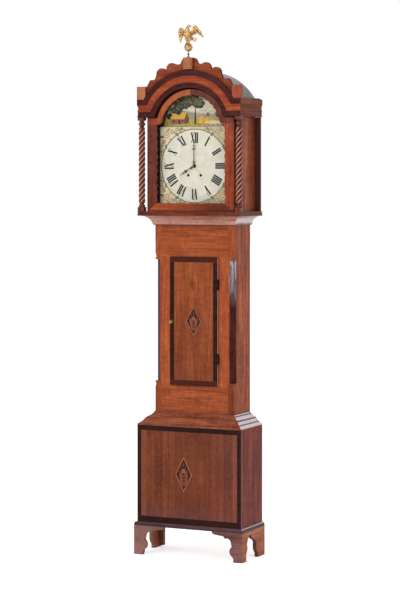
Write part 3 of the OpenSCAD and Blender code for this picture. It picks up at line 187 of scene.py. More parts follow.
def foot_wood():
    """Plum brown in front and orange brown on the sides, with a painted sheen on the left feet."""
    mat, surface = new_material("stained_mahogany_feet")
    place, xyz = place_of(mat)
    front, ribbon, pores = grain_colour(mat, place, "x", ("#4c2721", "#7a4f47", "#9b6e65"), 1.0, 0.045)
    side, _, _ = grain_colour(mat, place, "y", ("#78341c", "#ad6140", "#cb8a62"), 1.6, 0.045)
    turned = add(
        mat, "Math", add(mat, "Math", facing(mat)[0], operation="ABSOLUTE"), 0.6, operation="GREATER_THAN"
    )
    # Painted sheen: the left feet are tinted pale pink
    left = add(mat, "MapRange", xyz[0], 0.0, -0.2, 0.0, 0.3)
    front = add(mat, "Mix", left, front, colour("#b98a80"), data_type="RGBA")
    polish(mat, surface, add(mat, "Mix", turned, front, side, data_type="RGBA"), ribbon, pores, 0.42)
    return mat


dress(foot_wood(), "bracket_feet")


def moulding_wood(slope_z):
    """Grain along the moulding, plum dark on the foot moulding and a painted sheen on the slope's returns."""
    mat, surface = new_material("mahogany_base_moulding")
    place, xyz = place_of(mat)
    board, ribbon, pores = grain_colour(mat, place, "x", ("#481b10", "#85432c", "#ad6440"), 2.0, 0.030)
    plum, _, _ = grain_colour(mat, place, "x", ("#251820", "#44313a", "#5f4950"), 2.4, 0.030)
    between_mouldings, lip_z, lip_top = 0.3, 0.1352, 0.2
    line_pitch, first_line = 0.016, slope_z + 0.015
    below = add(mat, "Math", xyz[2], between_mouldings, operation="LESS_THAN")
    tint = add(mat, "Mix", below, board, plum, data_type="RGBA")
    aside = add(mat, "Math", facing(mat)[0], operation="ABSOLUTE")
    # Dark lines 16 mm apart on the returns, the lowest 15 mm over the slope's foot
    phase = add(
        mat,
        "Math",
        add(mat, "Math", xyz[2], first_line + line_pitch / 4, operation="SUBTRACT"),
        math.tau / line_pitch,
        operation="MULTIPLY",
    )
    wave = add(mat, "Math", phase, operation="SINE")
    pale = add(mat, "MapRange", wave, -0.72, -0.3)
    turned = masked(mat, (aside, "GREATER_THAN", 0.3), (xyz[2], "GREATER_THAN", slope_z))
    # The returns' pale bands are a painted sheen, streaked like a reflection
    shine = streaks(mat, place, "y", 0.003, 0.03, 2.9, 3.0, 0.2)
    silver = add(mat, "Mix", shine, colour("#c9aab4"), colour("#fff4fa"), data_type="RGBA")
    painted_sheen_bands = add(mat, "Mix", pale, colour("#14060b"), silver, data_type="RGBA")
    tint = add(
        mat, "Mix", add(mat, "Math", turned, 0.92, operation="MULTIPLY"), tint, painted_sheen_bands, data_type="RGBA"
    )
    # The foot moulding's top edge, tinted bright along the sides and red brown in front, a painted highlight
    lip = masked(mat, (xyz[2], "GREATER_THAN", lip_z), (xyz[2], "LESS_THAN", lip_top))
    tint = add(
        mat,
        "Mix",
        add(mat, "Math", lip, 0.6, operation="MULTIPLY"),
        tint,
        colour("#80463c"),
        data_type="RGBA",
    )
    tint = add(
        mat,
        "Mix",
        masked(mat, (lip, "GREATER_THAN", 0.5), (aside, "GREATER_THAN", 0.3)),
        tint,
        colour("#d3bcbb"),
        data_type="RGBA",
    )
    polish(mat, surface, tint, ribbon, pores, 0.22, coat=0.1)
    gloss = add(mat, "MapRange", turned, 0.0, 1.0, 0.06, 0.8)
    mat.node_tree.links.new(gloss, surface.inputs["Coat Weight"])
    return mat


# Straight mahogany moulding, grain along its length, with a painted sheen on the returns of its upper steps
dress(moulding_wood(0.549), "base_mouldings")


# Base box. A quartered veneer of plain mahogany with dark crossbanding round it, a pine back and floor,
# and solid red-brown sides; the marquetry diamond has a dark ground, a sprig of leaves and a pale edge.
def quartered_veneer(name, tones, centre, seed, gloss):
    """Four leaves of veneer matched about a point, with hairline joints."""
    mat, surface = new_material(name)
    place, xyz = place_of(mat)
    across = add(mat, "Math", xyz[0], centre[0], operation="SUBTRACT")
    up = add(mat, "Math", xyz[2], centre[1], operation="SUBTRACT")
    folded = add(
        mat,
        "CombineXYZ",
        add(mat, "Math", across, operation="ABSOLUTE"),
        xyz[1],
        add(mat, "Math", up, operation="ABSOLUTE"),
    )
    tint, ribbon, pores = grain_colour(mat, folded, "z", tones, seed, 0.060, 0.009)
    leaf = add(mat, "Math", add(mat, "Math", across, up, operation="MULTIPLY"), 0.0, operation="GREATER_THAN")
    tint = add(
        mat,
        "Mix",
        add(mat, "Math", leaf, 0.12, operation="MULTIPLY"),
        tint,
        colour(tones[0]),
        data_type="RGBA",
    )
    # Short rays across the grain, as a fine weave
    rays = streaks(mat, place, "x", 0.0022, 0.014, seed + 9.0, 2.0, 0.0)
    weave = add(mat, "MapRange", rays, 0.45, 0.70, 0.0, 0.30)
    tint = add(mat, "Mix", weave, tint, colour("#a25a30"), data_type="RGBA")
    # A bluish tint along the bottom and on the right, for the grey sheen there
    low = add(mat, "MapRange", xyz[2], 0.24, 0.15, 0.0, 0.34)
    right = add(mat, "MapRange", xyz[0], 0.10, 0.24, 0.0, 0.20)
    tint = add(
        mat,
        "Mix",
        add(mat, "Math", low, right, operation="MAXIMUM"),
        tint,
        colour("#6b4550"),
        data_type="RGBA",
    )
    # A line of paler wood inside the banding on either side
    line_x, line_half = 0.213, 0.0095
    aside = add(
        mat, "Math", add(mat, "Math", xyz[0], operation="ABSOLUTE"), line_x, line_half, operation="COMPARE"
    )
    tint = add(
        mat,
        "Mix",
        add(mat, "Math", aside, 0.22, operation="MULTIPLY"),
        tint,
        colour("#a05e4c"),
        data_type="RGBA",
    )
    near = add(
        mat,
        "Math",
        add(mat, "Math", across, operation="ABSOLUTE"),
        add(mat, "Math", up, operation="ABSOLUTE"),
        operation="MINIMUM",
    )
    joint = add(mat, "MapRange", near, 0.0, 0.0012, 0.35, 0.0)
    tint = add(mat, "Mix", joint, tint, colour(tones[0]), data_type="RGBA")
    polish(mat, surface, tint, ribbon, pores, gloss)
    return mat


# Mahogany veneer, quarter matched, a warm brown that shows its vertical grain
base_veneer = quartered_veneer(
    "quartered_mahogany_veneer", ("#471808", "#723318", "#954d25"), (0.02, 0.36), 3.0, 0.28
)
dress(base_veneer, "base_front_panel")


def banding(name, seed, warm_from, warm_to):
    """Dark crossbanding, redder on its level strips above and below."""
    mat, surface = new_material(name)
    place, xyz = place_of(mat)
    dark, ribbon, pores = grain_colour(mat, place, "x", ("#170705", "#2c100b", "#421c15"), seed, 0.02, 0.004)
    out = add(
        mat,
        "Math",
        add(mat, "Math", xyz[2], (warm_from + warm_to) / 2, operation="SUBTRACT"),
        operation="ABSOLUTE",
    )
    level = add(mat, "Math", out, (warm_to - warm_from) / 2, operation="GREATER_THAN")
    tint = add(
        mat,
        "Mix",
        add(mat, "Math", level, 0.30, operation="MULTIPLY"),
        dark,
        colour("#6a2a18"),
        data_type="RGBA",
    )
    polish(mat, surface, tint, ribbon, pores, 0.30, 0.0005, shine=0.12, coat=0.03)
    return mat


def flat_pieces(name, shapes, materials, face, body):
    """Thin flat shapes on a front face, each as points in x and z, a layer and a material's number."""
    lift, coat = 0.00012, 0.00003
    work = bmesh.new()
    for i, (points, layer, number) in enumerate(shapes):
        # Shapes of one layer that touch lie a hair apart, so that no two faces share a plane
        y = face - lift - coat * (layer + 0.05 * (i % 19))
        area = sum(
            points[i - 1][0] * points[i][1] - points[i][0] * points[i - 1][1] for i in range(len(points))
        )
        ring = points if area > 0 else points[::-1]
        leaf = work.faces.new([work.verts.new((x, y, z)) for x, z in ring])
        leaf.material_index = number
    work.normal_update()
    bmesh.ops.triangulate(work, faces=work.faces[:])
    mesh = bpy.data.meshes.new(name)
    work.to_mesh(mesh)
    work.free()
    for mat in materials:
        mesh.materials.append(mat)
    piece = bpy.data.objects.new(name, mesh)
    bpy.context.scene.collection.objects.link(piece)
    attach(piece, body)


def blade(x, z, length, width, turn, bend=0.0, count=8):
    """A pointed leaf from its root, with its length, width, direction and bend."""
    left, right = [], []
    for i in range(count + 1):
        s = i / count
        a = turn + bend * (s - 0.5)
        u = length * s
        half = width / 2 * math.sin(math.pi * s) ** 0.8
        left.append((x + u * math.cos(a) - half * math.sin(a), z + u * math.sin(a) + half * math.cos(a)))
        right.append((x + u * math.cos(a) + half * math.sin(a), z + u * math.sin(a) - half * math.cos(a)))
    return left[:-1] + right[:0:-1]


def circle_points(x, z, r, count=48, squash=1.0, turn=0.0):
    """Points of a circle or, squashed and turned, of an ellipse."""
    found = []
    for i in range(count):
        a = 2 * math.pi * i / count
        u, v = r * math.cos(a), r * squash * math.sin(a)
        found.append(
            (x + u * math.cos(turn) - v * math.sin(turn), z + u * math.sin(turn) + v * math.cos(turn))
        )
    return found


def marquetry_shapes(x, z, half_w, half_h, ground, halo):
    """A diamond: a pale line, a halo, a dark line and a red-brown ground that holds a sprig and a flower."""
    found = []
    corners = [(1, 0), (0, 1), (-1, 0), (0, -1)]

    def rim(outer, inner, number):
        for (u0, v0), (u1, v1) in zip(corners, corners[1:] + corners[:1]):
            points = [(u0, v0, outer), (u1, v1, outer), (u1, v1, inner), (u0, v0, inner)]
            found.append(([(x + u * half_w * k, z + v * half_h * k) for u, v, k in points], 1, number))

    def leaf(v, lean, side, number, layer):
        """A leaf from the stem as long as the ground allows."""
        length = 0.0
        while length * math.cos(lean) / half_w + abs(
            v * half_h + length * math.sin(lean)
        ) / half_h < ground * 0.93:
            length += 0.0005
        turn = lean if side > 0 else math.pi - lean
        found.append(
            (blade(x, z + v * half_h, length, length * 0.17 + 0.0014, turn, 0.7 * side), layer, number)
        )
        found.append((blade(x, z + v * half_h, length * 0.85, 0.0008, turn, 0.7 * side), layer + 1, 1))

    rim(1.0, 0.93, 0)
    rim(0.93, ground + 0.05, halo)
    rim(ground + 0.05, ground, 1)
    found.append(([(x + u * half_w * ground, z + v * half_h * ground) for u, v in corners], 1, 2))
    found.append(
        (
            [
                (x - 0.0008, z - 0.6 * half_h),
                (x + 0.0008, z - 0.6 * half_h),
                (x + 0.0008, z),
                (x - 0.0008, z),
            ],
            2,
            3,
        )
    )
    for i, (v, lean) in enumerate(
        ((-0.66, 1.2), (-0.50, 0.80), (-0.30, 0.62), (-0.08, 0.42), (0.12, 0.15), (0.26, 0.75))
    ):
        for side in (-1, 1):
            leaf(v, lean, side, 4 if i in (1, 5) else 3, 3 + 2 * i + side)
    flower = 0.26 * half_w
    for i in range(8):
        found.append(
            (
                blade(x, z + 0.20 * half_h, flower, flower * 0.5, math.pi / 4 * i),
                16 + i % 2,
                0 if i % 2 else 3,
            )
        )
    found.append((circle_points(x, z + 0.20 * half_h, flower * 0.22, 12), 18, 1))
    found.append((blade(x, z + 0.44 * half_h, 0.22 * half_h, 0.16 * half_w, math.pi / 2), 15, 4))
    return found


def timber(
    name, tones, grain="z", seed=0.0, gloss=0.30, figure=0.030, stripe=0.0055, shine=0.2, coat=0.05, corner_shade=0.55
):
    """A polished wood of one grain direction."""
    mat, surface = new_material(name)
    place, _ = place_of(mat)
    tint, ribbon, pores = grain_colour(mat, place, grain, tones, seed, figure, stripe)
    polish(mat, surface, tint, ribbon, pores, gloss, shine=shine, coat=coat, corner_shade=corner_shade)
    return mat


# Holly, dyed pear, a red-brown ground, yellow and brown leaf woods and mahogany, all reddened by polish
marquetry_woods = [
    timber("pale_holly_stringing", ("#8e5238", "#a5684a", "#bb8060"), "z", 50.0, 0.34, 0.010, corner_shade=0.0),
    timber("dyed_pear_marquetry", ("#180402", "#280804", "#380d07"), "z", 51.0, 0.34, 0.010, corner_shade=0.0),
    timber("marquetry_ground", ("#240603", "#360b05", "#480f07"), "z", 52.0, 0.34, 0.010, corner_shade=0.0),
    timber("marquetry_leaf_wood", ("#743623", "#8c4833", "#a05a42"), "z", 53.0, 0.34, 0.010, corner_shade=0.0),
    timber("marquetry_brown_wood", ("#583824", "#6c4a32", "#80593c"), "z", 54.0, 0.34, 0.010, corner_shade=0.0),
    timber("marquetry_halo_wood", ("#61230f", "#7c3a22", "#924f31"), "z", 55.0, 0.34, 0.010, corner_shade=0.0),
]

# Rosewood banding, nearly black, with a bluish shine
dress(banding("rosewood_banding_base", 1.3, 0.100, 0.570), "base_inlays")
inlay_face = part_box("base_inlays")[0][1]
base_sprig = marquetry_shapes(-0.023, 0.349, 0.0385, 0.0745, 0.80, 5)
flat_pieces("base_diamond", base_sprig, marquetry_woods, inlay_face, "root")
# Solid mahogany sides, redder than the front, with a strong vertical grain
base_side = timber(
    "mahogany_base_side",
    ("#2f0d0c", "#742619", "#a8482c"),
    "z",
    5.0,
    0.24,
    0.036,
    0.011,
    shine=0.12,
    coat=0.02,
)
dress(base_side, "base_carcass")


# Trunk. Solid mahogany sides, corner posts with stopped chamfers, rails with a horizontal grain
# and stiles with a vertical one, and a deep coved moulding that carries the hood.
def framed_timber(name, rail, stile, low_z, high_z, seed):
    """Rails with a horizontal grain above and below stiles with a vertical one."""
    mat, surface = new_material(name)
    place, xyz = place_of(mat)
    rails, ribbon, pores = grain_colour(mat, place, "x", rail, seed, 0.034)
    stiles, _, _ = grain_colour(mat, place, "z", stile, seed + 2.0, 0.030)
    middle = add(mat, "Math", xyz[2], (low_z + high_z) / 2, (high_z - low_z) / 2, operation="COMPARE")
    tint = add(mat, "Mix", middle, rails, stiles, data_type="RGBA")
    polish(mat, surface, tint, ribbon, pores, 0.27)
    return mat


# Cuban mahogany front, orange brown, the most lit wood of the case
trunk_front = framed_timber(
    "mahogany_trunk_front",
    ("#6e2a10", "#984620", "#b86230"),
    ("#7a3016", "#a54d25", "#c16a35"),
    0.7185,
    1.2605,
    6.0,
)
dress(trunk_front, "trunk_front_frame")


def post_wood(low_z, high_z):
    """Orange-brown posts with plum dark stopped chamfers, the right one with a painted grey sheen at its top.
    """
    mat, surface = new_material("mahogany_corner_posts")
    place, xyz = place_of(mat)
    face = facing(mat)
    board, ribbon, pores = grain_colour(mat, place, "z", ("#672a14", "#984a28", "#b7683c"), 8.0, 0.030)
    plum, _, _ = grain_colour(mat, place, "z", ("#240b0b", "#431a1a", "#633330"), 8.6, 0.010, 0.003)
    # Painted sheen: grey streaks fading down from the top of the right chamfer
    painted_sheen_fade = add(mat, "MapRange", xyz[2], high_z - 0.20, high_z, 0.0, 0.9)
    glint = add(mat, "MapRange", streaks(mat, place, "z", 0.0035, 0.05, 8.9, 3.0, 0.3), 0.42, 0.6)
    right = add(mat, "Math", xyz[0], 0.0, operation="GREATER_THAN")
    grey = add(mat, "Mix", glint, colour("#6e565e"), colour("#d8ccd6"), data_type="RGBA")
    plum = add(mat, "Mix", add(mat, "Math", right, painted_sheen_fade, operation="MULTIPLY"), plum, grey, data_type="RGBA")
    # Painted shade on the right post below its chamfer
    shade = masked(
        mat, (xyz[2], "LESS_THAN", low_z), (xyz[0], "GREATER_THAN", 0.0), (face[0], "LESS_THAN", 0.9)
    )
    board = add(
        mat,
        "Mix",
        add(mat, "Math", shade, 0.5, operation="MULTIPLY"),
        board,
        colour("#4c1d17"),
        data_type="RGBA",
    )
    slant = add(mat, "Math", add(mat, "Math", face[0], operation="ABSOLUTE"), face[1], operation="MULTIPLY")
    bevel = add(mat, "Math", slant, -0.3, operation="LESS_THAN")
    cut = masked(
        mat, (bevel, "GREATER_THAN", 0.5), (xyz[2], "GREATER_THAN", low_z), (xyz[2], "LESS_THAN", high_z)
    )
    tint = add(
        mat,
        "Mix",
        cut,
        add(
            mat,
            "Mix",
            add(mat, "Math", bevel, 0.85, operation="MULTIPLY"),
            board,
            colour("#3a1512"),
            data_type="RGBA",
        ),
        plum,
        data_type="RGBA",
    )
    # Painted highlights, pale, on the tongue above and below each chamfer
    mark = None
    for end in (low_z - 0.012, high_z + 0.014):
        tip = masked(
            mat,
            (slant, "LESS_THAN", -0.2),
            (
                add(mat, "Math", add(mat, "Math", xyz[2], end, operation="SUBTRACT"), operation="ABSOLUTE"),
                "LESS_THAN",
                0.009,
            ),
        )
        mark = tip if mark is None else add(mat, "Math", mark, tip, operation="MAXIMUM")
    tint = add(
        mat,
        "Mix",
        add(mat, "Math", mark, 0.6, operation="MULTIPLY"),
        tint,
        colour("#b98672"),
        data_type="RGBA",
    )
    polish(mat, surface, tint, ribbon, pores, 0.26, shine=0.08, coat=0.02)
    return mat


dress(post_wood(0.731, 1.250), "trunk_corner_posts")
# Solid sides, vertical grain, between the posts and the backboard
dress(
    timber(
        "mahogany_trunk_sides",
        ("#561d0d", "#9c4825", "#c96f3a"),
        "z",
        9.0,
        0.24,
        0.030,
        0.010,
        shine=0.12,
        coat=0.02,
    ),
    "trunk_sides",
)


def throat_wood():
    """Grain along the cove, tinted pink in front and pale on the returns, a painted sheen in both places."""
    mat, surface = new_material("mahogany_throat_moulding")
    place, xyz = place_of(mat)
    # The pink tones in front are a painted sheen
    board, ribbon, pores = grain_colour(mat, place, "x", ("#7e4636", "#b07462", "#d09c8c"), 10.0, 0.030)
    turned = add(
        mat, "Math", add(mat, "Math", facing(mat)[0], operation="ABSOLUTE"), 0.2, operation="GREATER_THAN"
    )
    # On the returns a painted highlight streak lies between dark ones
    height = add(mat, "Math", xyz[2], throat_foot, operation="SUBTRACT")
    apart = add(mat, "Math", add(mat, "Math", height, 0.020, operation="SUBTRACT"), operation="ABSOLUTE")
    streak = streaks(mat, place, "y", 0.004, 0.06, 10.6, 3.0, 0.3)
    apart = add(
        mat,
        "Math",
        apart,
        add(mat, "Math", add(mat, "Math", streak, 0.5, operation="SUBTRACT"), 0.018, operation="MULTIPLY"),
        operation="ADD",
    )
    bright = add(mat, "MapRange", apart, 0.006, 0.016, 1.0, 0.0)
    side = add(mat, "Mix", bright, colour("#6b3a30"), colour("#ecd2cc"), data_type="RGBA")
    tint = add(mat, "Mix", add(mat, "Math", turned, 0.9, operation="MULTIPLY"), board, side, data_type="RGBA")
    foot = add(mat, "Math", height, 0.0035, operation="LESS_THAN")
    tint = add(
        mat,
        "Mix",
        add(mat, "Math", foot, 0.7, operation="MULTIPLY"),
        tint,
        colour("#4a1e12"),
        data_type="RGBA",
    )
    polish(mat, surface, tint, ribbon, pores, 0.20, coat=0.8)
    return mat


throat_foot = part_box("throat_moulding")[0][2]
# Coved moulding cut along the grain, with a pink painted sheen
dress(throat_wood(), "throat_moulding")


def aged_pine():
    """Pine, bare and brown with age on the back and inside; its ears beside the hood are darkened with
    painted shade.
    """
    mat, surface = new_material("aged_pine")
    place, xyz = place_of(mat)
    board, ribbon, pores = grain_colour(mat, place, "z", ("#6b4526", "#94683d", "#b3875a"), 11.0, 0.05)
    ear_x, ear_z, skin = 0.1985, 1.44, 0.0006
    # Painted shade on the ears beside the hood
    ear = masked(
        mat,
        (add(mat, "Math", xyz[0], operation="ABSOLUTE"), "GREATER_THAN", ear_x),
        (xyz[2], "GREATER_THAN", ear_z),
        (xyz[1], "LESS_THAN", back_y - skin),
    )
    polish(
        mat,
        surface,
        add(mat, "Mix", ear, board, colour("#57332e"), data_type="RGBA"),
        ribbon,
        pores,
        0.60,
        shine=0.1,
        coat=0.0,
    )
    return mat


back_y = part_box("backboard")[1][1]
dress(aged_pine(), "backboard", "seatboard")


# Trunk door. A board of figured mahogany with a knot, dark crossbanding round it, a marquetry diamond,
# two brass butt hinges on the right and a lock on the left with its key.
def door_veneer():
    mat, surface = new_material("figured_mahogany_door")
    place, xyz = place_of(mat)
    tint, ribbon, pores = grain_colour(mat, place, "z", ("#632812", "#8f4420", "#b0642f"), 12.0, 0.034)
    knot_x, knot_z, drawn_out = -0.006, 1.146, 0.55
    knot = add(mat, "CombineXYZ", xyz[0], 0.0, add(mat, "Math", xyz[2], drawn_out, operation="MULTIPLY"))
    far = add(mat, "VectorMath", knot, (knot_x, 0.0, knot_z * drawn_out), operation="DISTANCE")
    ripple = streaks(mat, place, "z", 0.010, 0.020, 15.0, 4.0, 1.0)
    ring = add(
        mat,
        "Math",
        far,
        add(mat, "Math", add(mat, "Math", ripple, 0.5, operation="SUBTRACT"), 0.022, operation="MULTIPLY"),
        operation="ADD",
    )
    dark = add(mat, "MapRange", ring, 0.003, 0.018, 0.7, 0.0)
    tint = add(mat, "Mix", dark, tint, colour("#4a1c0e"), data_type="RGBA")
    fall = add(mat, "MapRange", xyz[2], 0.75, 1.15, 0.30, 0.0)
    tint = add(mat, "Mix", fall, tint, colour("#521d0d"), data_type="RGBA")
    # The edge on the hinge side is tinted pale, a painted highlight
    edge_x, edge_depth = 0.1113, 0.006
    edge = masked(mat, (xyz[0], "GREATER_THAN", edge_x), (xyz[1], "LESS_THAN", door_front + edge_depth))
    tint = add(mat, "Mix", edge, tint, colour("#e6c2a2"), data_type="RGBA")
    polish(mat, surface, tint, ribbon, pores, 0.27, corner_shade=0.1)
    return mat


door_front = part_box("trunk_door_panel")[0][1]
dress(door_veneer(), "trunk_door_panel")
dress(banding("rosewood_banding_door", 2.1, 0.7415, 1.2375), "trunk_door_inlays")
inlay_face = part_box("trunk_door_inlays")[0][1]
door_sprig = marquetry_shapes(0.0, 0.9895, 0.0335, 0.0600, 0.86, 1)
flat_pieces("door_diamond", door_sprig, marquetry_woods, inlay_face, "trunk_door")


def metal(name, base, worn, rough, scratch=0.004, metallic=1.0, stained_from=None, steel_ahead=None):
    """Metal dulled in patches; brown with stain from a line in x on, and of steel ahead of one in y."""
    mat, surface = new_material(name)
    place, xyz = place_of(mat)
    patch = streaks(mat, place, "z", scratch * 4, scratch * 4, 1.0, 5.0, 0.5)
    fine = streaks(mat, place, "x", scratch / 6, scratch, 4.0, 2.0, 0.0)
    surface.inputs["Metallic"].default_value = metallic
    tone = add(mat, "MapRange", patch, 0.35, 0.68)
    spread = add(mat, "MapRange", patch, 0.0, 1.0, rough - 0.08, rough + 0.14)
    bump = add(mat, "Bump", named={"Height": fine, "Strength": 0.06, "Distance": 0.0004})
    links = mat.node_tree.links
    skin = add(mat, "Mix", tone, colour(base), colour(worn), data_type="RGBA")
    if stained_from is not None:
        stained = add(mat, "Math", xyz[0], stained_from, operation="GREATER_THAN")
        skin = add(mat, "Mix", stained, skin, colour("#2c2317"), data_type="RGBA")
    if steel_ahead is not None:
        skin = add(
            mat,
            "Mix",
            add(mat, "Math", xyz[1], steel_ahead, operation="LESS_THAN"),
            skin,
            colour("#4a4845"),
            data_type="RGBA",
        )
    links.new(skin, surface.inputs["Base Color"])
    links.new(spread, surface.inputs["Roughness"])
    links.new(bump, surface.inputs["Normal"])
    return mat


# Cast brass, dull yellow with brown tarnish
brass = metal("tarnished_brass", "#b08a45", "#7d5b2c", 0.36)
dress(brass, "trunk_lock_bolt")
# The same brass on the door, brown with old polish on its hinge leaves
dress(metal("door_brass", "#b08a45", "#7d5b2c", 0.36, stained_from=0.05), "trunk_door_lock")
# Brass gone brown and green where no hand rubs it
dress(
    metal("dark_patinated_brass", "#33291a", "#211b13", 0.5, metallic=0.6),
    "trunk_hinges",
    "hood_hinge_pins",
    "hood_door_hinges",
)
# Key of white metal, pale and rubbed
dress(metal("rubbed_nickel_key", "#dedad2", "#a8a298", 0.28), "trunk_key")


# Movement. Brass plates, wheels and barrels, steel arbors and pallets, a cast bell, a pendulum with
# a brass-faced bob, and two cast weights on gut lines; none of it shows until the hood slides off.
# Filed and polished brass plate, bright where it was lacquered
clock_brass = metal("polished_clock_brass", "#d3ab5a", "#a67f3c", 0.24, 0.003)
dress(
    clock_brass,
    "movement_frame",
    "centre_wheel",
    "hour_wheel",
    "minute_wheel",
    "third_wheel",
    "escape_wheel",
    "pendulum_cock",
    "going_great_wheel",
    "strike_great_wheel",
    "pin_wheel",
    "locking_wheel",
    "fly",
    "going_pulley",
    "strike_pulley",
    "pendulum",
)
# The barrels' brass, and the steel of their arbors' winding squares
squares = metal(
    "barrel_brass_and_steel",
    "#d3ab5a",
    "#a67f3c",
    0.24,
    0.003,
    steel_ahead=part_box("movement_frame")[0][1] - 0.002,
)
dress(squares, "going_barrel", "strike_barrel")
# Bell metal, paler and greyer than brass
dress(metal("cast_bell_metal", "#b9a37a", "#8b7450", 0.30), "bell")
# Tempered steel, dark grey with a soft polish
dress(metal("polished_steel", "#8d8f92", "#5e5f62", 0.28), "pallets", "hammer")
# Cast iron painted black, dull
dress(
    metal("painted_cast_iron", "#1d1c1b", "#2b2927", 0.55, 0.006, 0.0),
    "false_plate",
    "going_weight",
    "strike_weight",
)
# Gut line, amber
gut_line = metal("gut_line", "#a07a45", "#7d5a30", 0.5, 0.002, 0.0)
dress(gut_line, "line_leads")


# Lines of the two weights. Gut, 1.5 mm thick, in two strands from the seatboard to each weight's pulley.
# The bight under the pulley rises and falls with the weight.
def add_mesh(name, work, mat, body):
    """Makes a smooth piece of a finished bmesh."""
    bmesh.ops.recalc_face_normals(work, faces=work.faces[:])
    for face in work.faces:
        face.smooth = True
    mesh = bpy.data.meshes.new(name)
    work.to_mesh(mesh)
    work.free()
    mesh.materials.append(mat)
    piece = bpy.data.objects.new(name, mesh)
    bpy.context.scene.collection.objects.link(piece)
    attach(piece, body)
    return piece


line_r = 0.00075


def gut_tubes(name, paths, body):
    """Gut line along paths that each lie in one upright plane facing forward."""
    work = bmesh.new()
    around = 10
    for path in paths:
        rows = []
        for i, here in enumerate(path):
            before, after = path[max(0, i - 1)], path[min(len(path) - 1, i + 1)]
            side = (Vector(after) - Vector(before)).normalized().cross(Vector((0, 1, 0)))
            ring = [2 * math.pi * k / around for k in range(around)]
            offsets = [side * (line_r * math.cos(a)) + Vector((0, line_r * math.sin(a), 0)) for a in ring]
            rows.append([work.verts.new(Vector(here) + offset) for offset in offsets])
        for low_row, high_row in zip(rows, rows[1:]):
            for k in range(around):
                n = (k + 1) % around
                work.faces.new((low_row[k], low_row[n], high_row[n], high_row[k]))
        work.faces.new(rows[0][::-1])
        work.faces.new(rows[-1])
    return add_mesh(name, work, gut_line, body)


# Each train's two upright strands, and the bight under its pulley
for train in ("going", "strike"):
    line_low, line_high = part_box(train + "_line")
    ends = (line_low[0] + line_r, line_high[0] - line_r)
    middle, radius = sum(ends) / 2, (ends[1] - ends[0]) / 2
    line_y, top_z, pulley_z = (line_low[1] + line_high[1]) / 2, line_high[2], line_low[2]
    upright = [[(x, line_y, pulley_z + (top_z - pulley_z) * i / 8) for i in range(9)] for x in ends]
    strands = gut_tubes(train + "_line_strands", upright, "root")
    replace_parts(strands, train + "_line")
    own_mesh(strands)
    turn = [math.pi * i / 24 for i in range(25)]
    bight = [(middle - radius * math.cos(a), line_y, pulley_z - radius * math.sin(a)) for a in turn]
    gut_tubes(train + "_line_bight", [bight], train + "_weight")


# Dial. A sheet of iron painted cream in many thin coats, with a white chapter disc, black Roman hours,
# a brown and gold ring, leaf and flower sprays in its corners and a cottage by a pond in its arch.
dial_low, dial_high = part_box("dial_plate")
dial_face = dial_low[1]
dial_middle = dial_low[2] + (dial_high[0] - dial_low[0]) / 2
disc_r = 0.1535
arch_centre = dial_high[2] - 0.147


def dial_enamel():
    mat, surface = new_material("aged_dial_paint")
    place, xyz = place_of(mat)
    here = add(mat, "CombineXYZ", xyz[0], 0.0, xyz[2])
    out = add(mat, "VectorMath", here, (0.0, 0.0, dial_middle), operation="DISTANCE")
    disc = add(mat, "Math", out, disc_r, operation="LESS_THAN")
    cloud = streaks(mat, place, "z", 0.045, 0.045, 2.0, 4.0, 0.6)
    wash = add(mat, "MapRange", cloud, 0.35, 0.65)
    corner = add(mat, "Mix", wash, colour("#f8f0d2"), colour("#e8dbb0"), data_type="RGBA")
    # The right corners are tinted browner, painted shade that the plain light alone doesn't give
    right_painted_shade = add(mat, "MapRange", xyz[0], -0.12, 0.14, 0.0, 0.75)
    corner = add(mat, "Mix", right_painted_shade, corner, colour("#bcab82"), data_type="RGBA")
    behind = add(mat, "Math", facing(mat)[1], 0.5, operation="GREATER_THAN")
    white = add(mat, "Mix", wash, colour("#f6f3e2"), colour("#e9e4cd"), data_type="RGBA")
    tint = add(mat, "Mix", disc, corner, white, data_type="RGBA")
    crack = add(
        mat,
        "TexVoronoi",
        named={"Vector": place, "Scale": 1 / 0.009, "Randomness": 1.0},
        feature="DISTANCE_TO_EDGE",
    )
    fine = add(mat, "MapRange", crack, 0.0, 0.03, 0.22, 0.0)
    tint = add(mat, "Mix", fine, tint, colour("#8a7a58"), data_type="RGBA")
    tint = add(mat, "Mix", behind, tint, colour("#3a302a"), data_type="RGBA")
    surface.inputs["Roughness"].default_value = 0.42
    mat.node_tree.links.new(tint, surface.inputs["Base Color"])
    return mat


dress(dial_enamel(), "dial_plate")


def paint(name, code, other, dab=0.004, rough=0.5):
    """Oil paint laid in small dabs of two near colours; dab is the brush mark's width in metres."""
    mat, surface = new_material(name)
    place, _ = place_of(mat)
    mark = streaks(mat, place, "x", dab, dab * 2.2, 3.0, 4.0, 1.4)
    tone = add(mat, "MapRange", mark, 0.36, 0.64)
    mat.node_tree.links.new(
        add(mat, "Mix", tone, colour(code), colour(other), data_type="RGBA"), surface.inputs["Base Color"]
    )
    surface.inputs["Roughness"].default_value = rough
    return mat


def ring_shapes(x, z, inner, outer, layer, number, start=0.0, end=2 * math.pi, count=120):
    """A ring or a part of one, as short flat pieces."""
    found = []
    for i in range(count):
        a, b = start + (end - start) * i / count, start + (end - start) * (i + 1) / count
        corners = [(outer, a), (outer, b), (inner, b), (inner, a)]
        found.append(([(x + r * math.cos(t), z + r * math.sin(t)) for r, t in corners], layer, number))
    return found


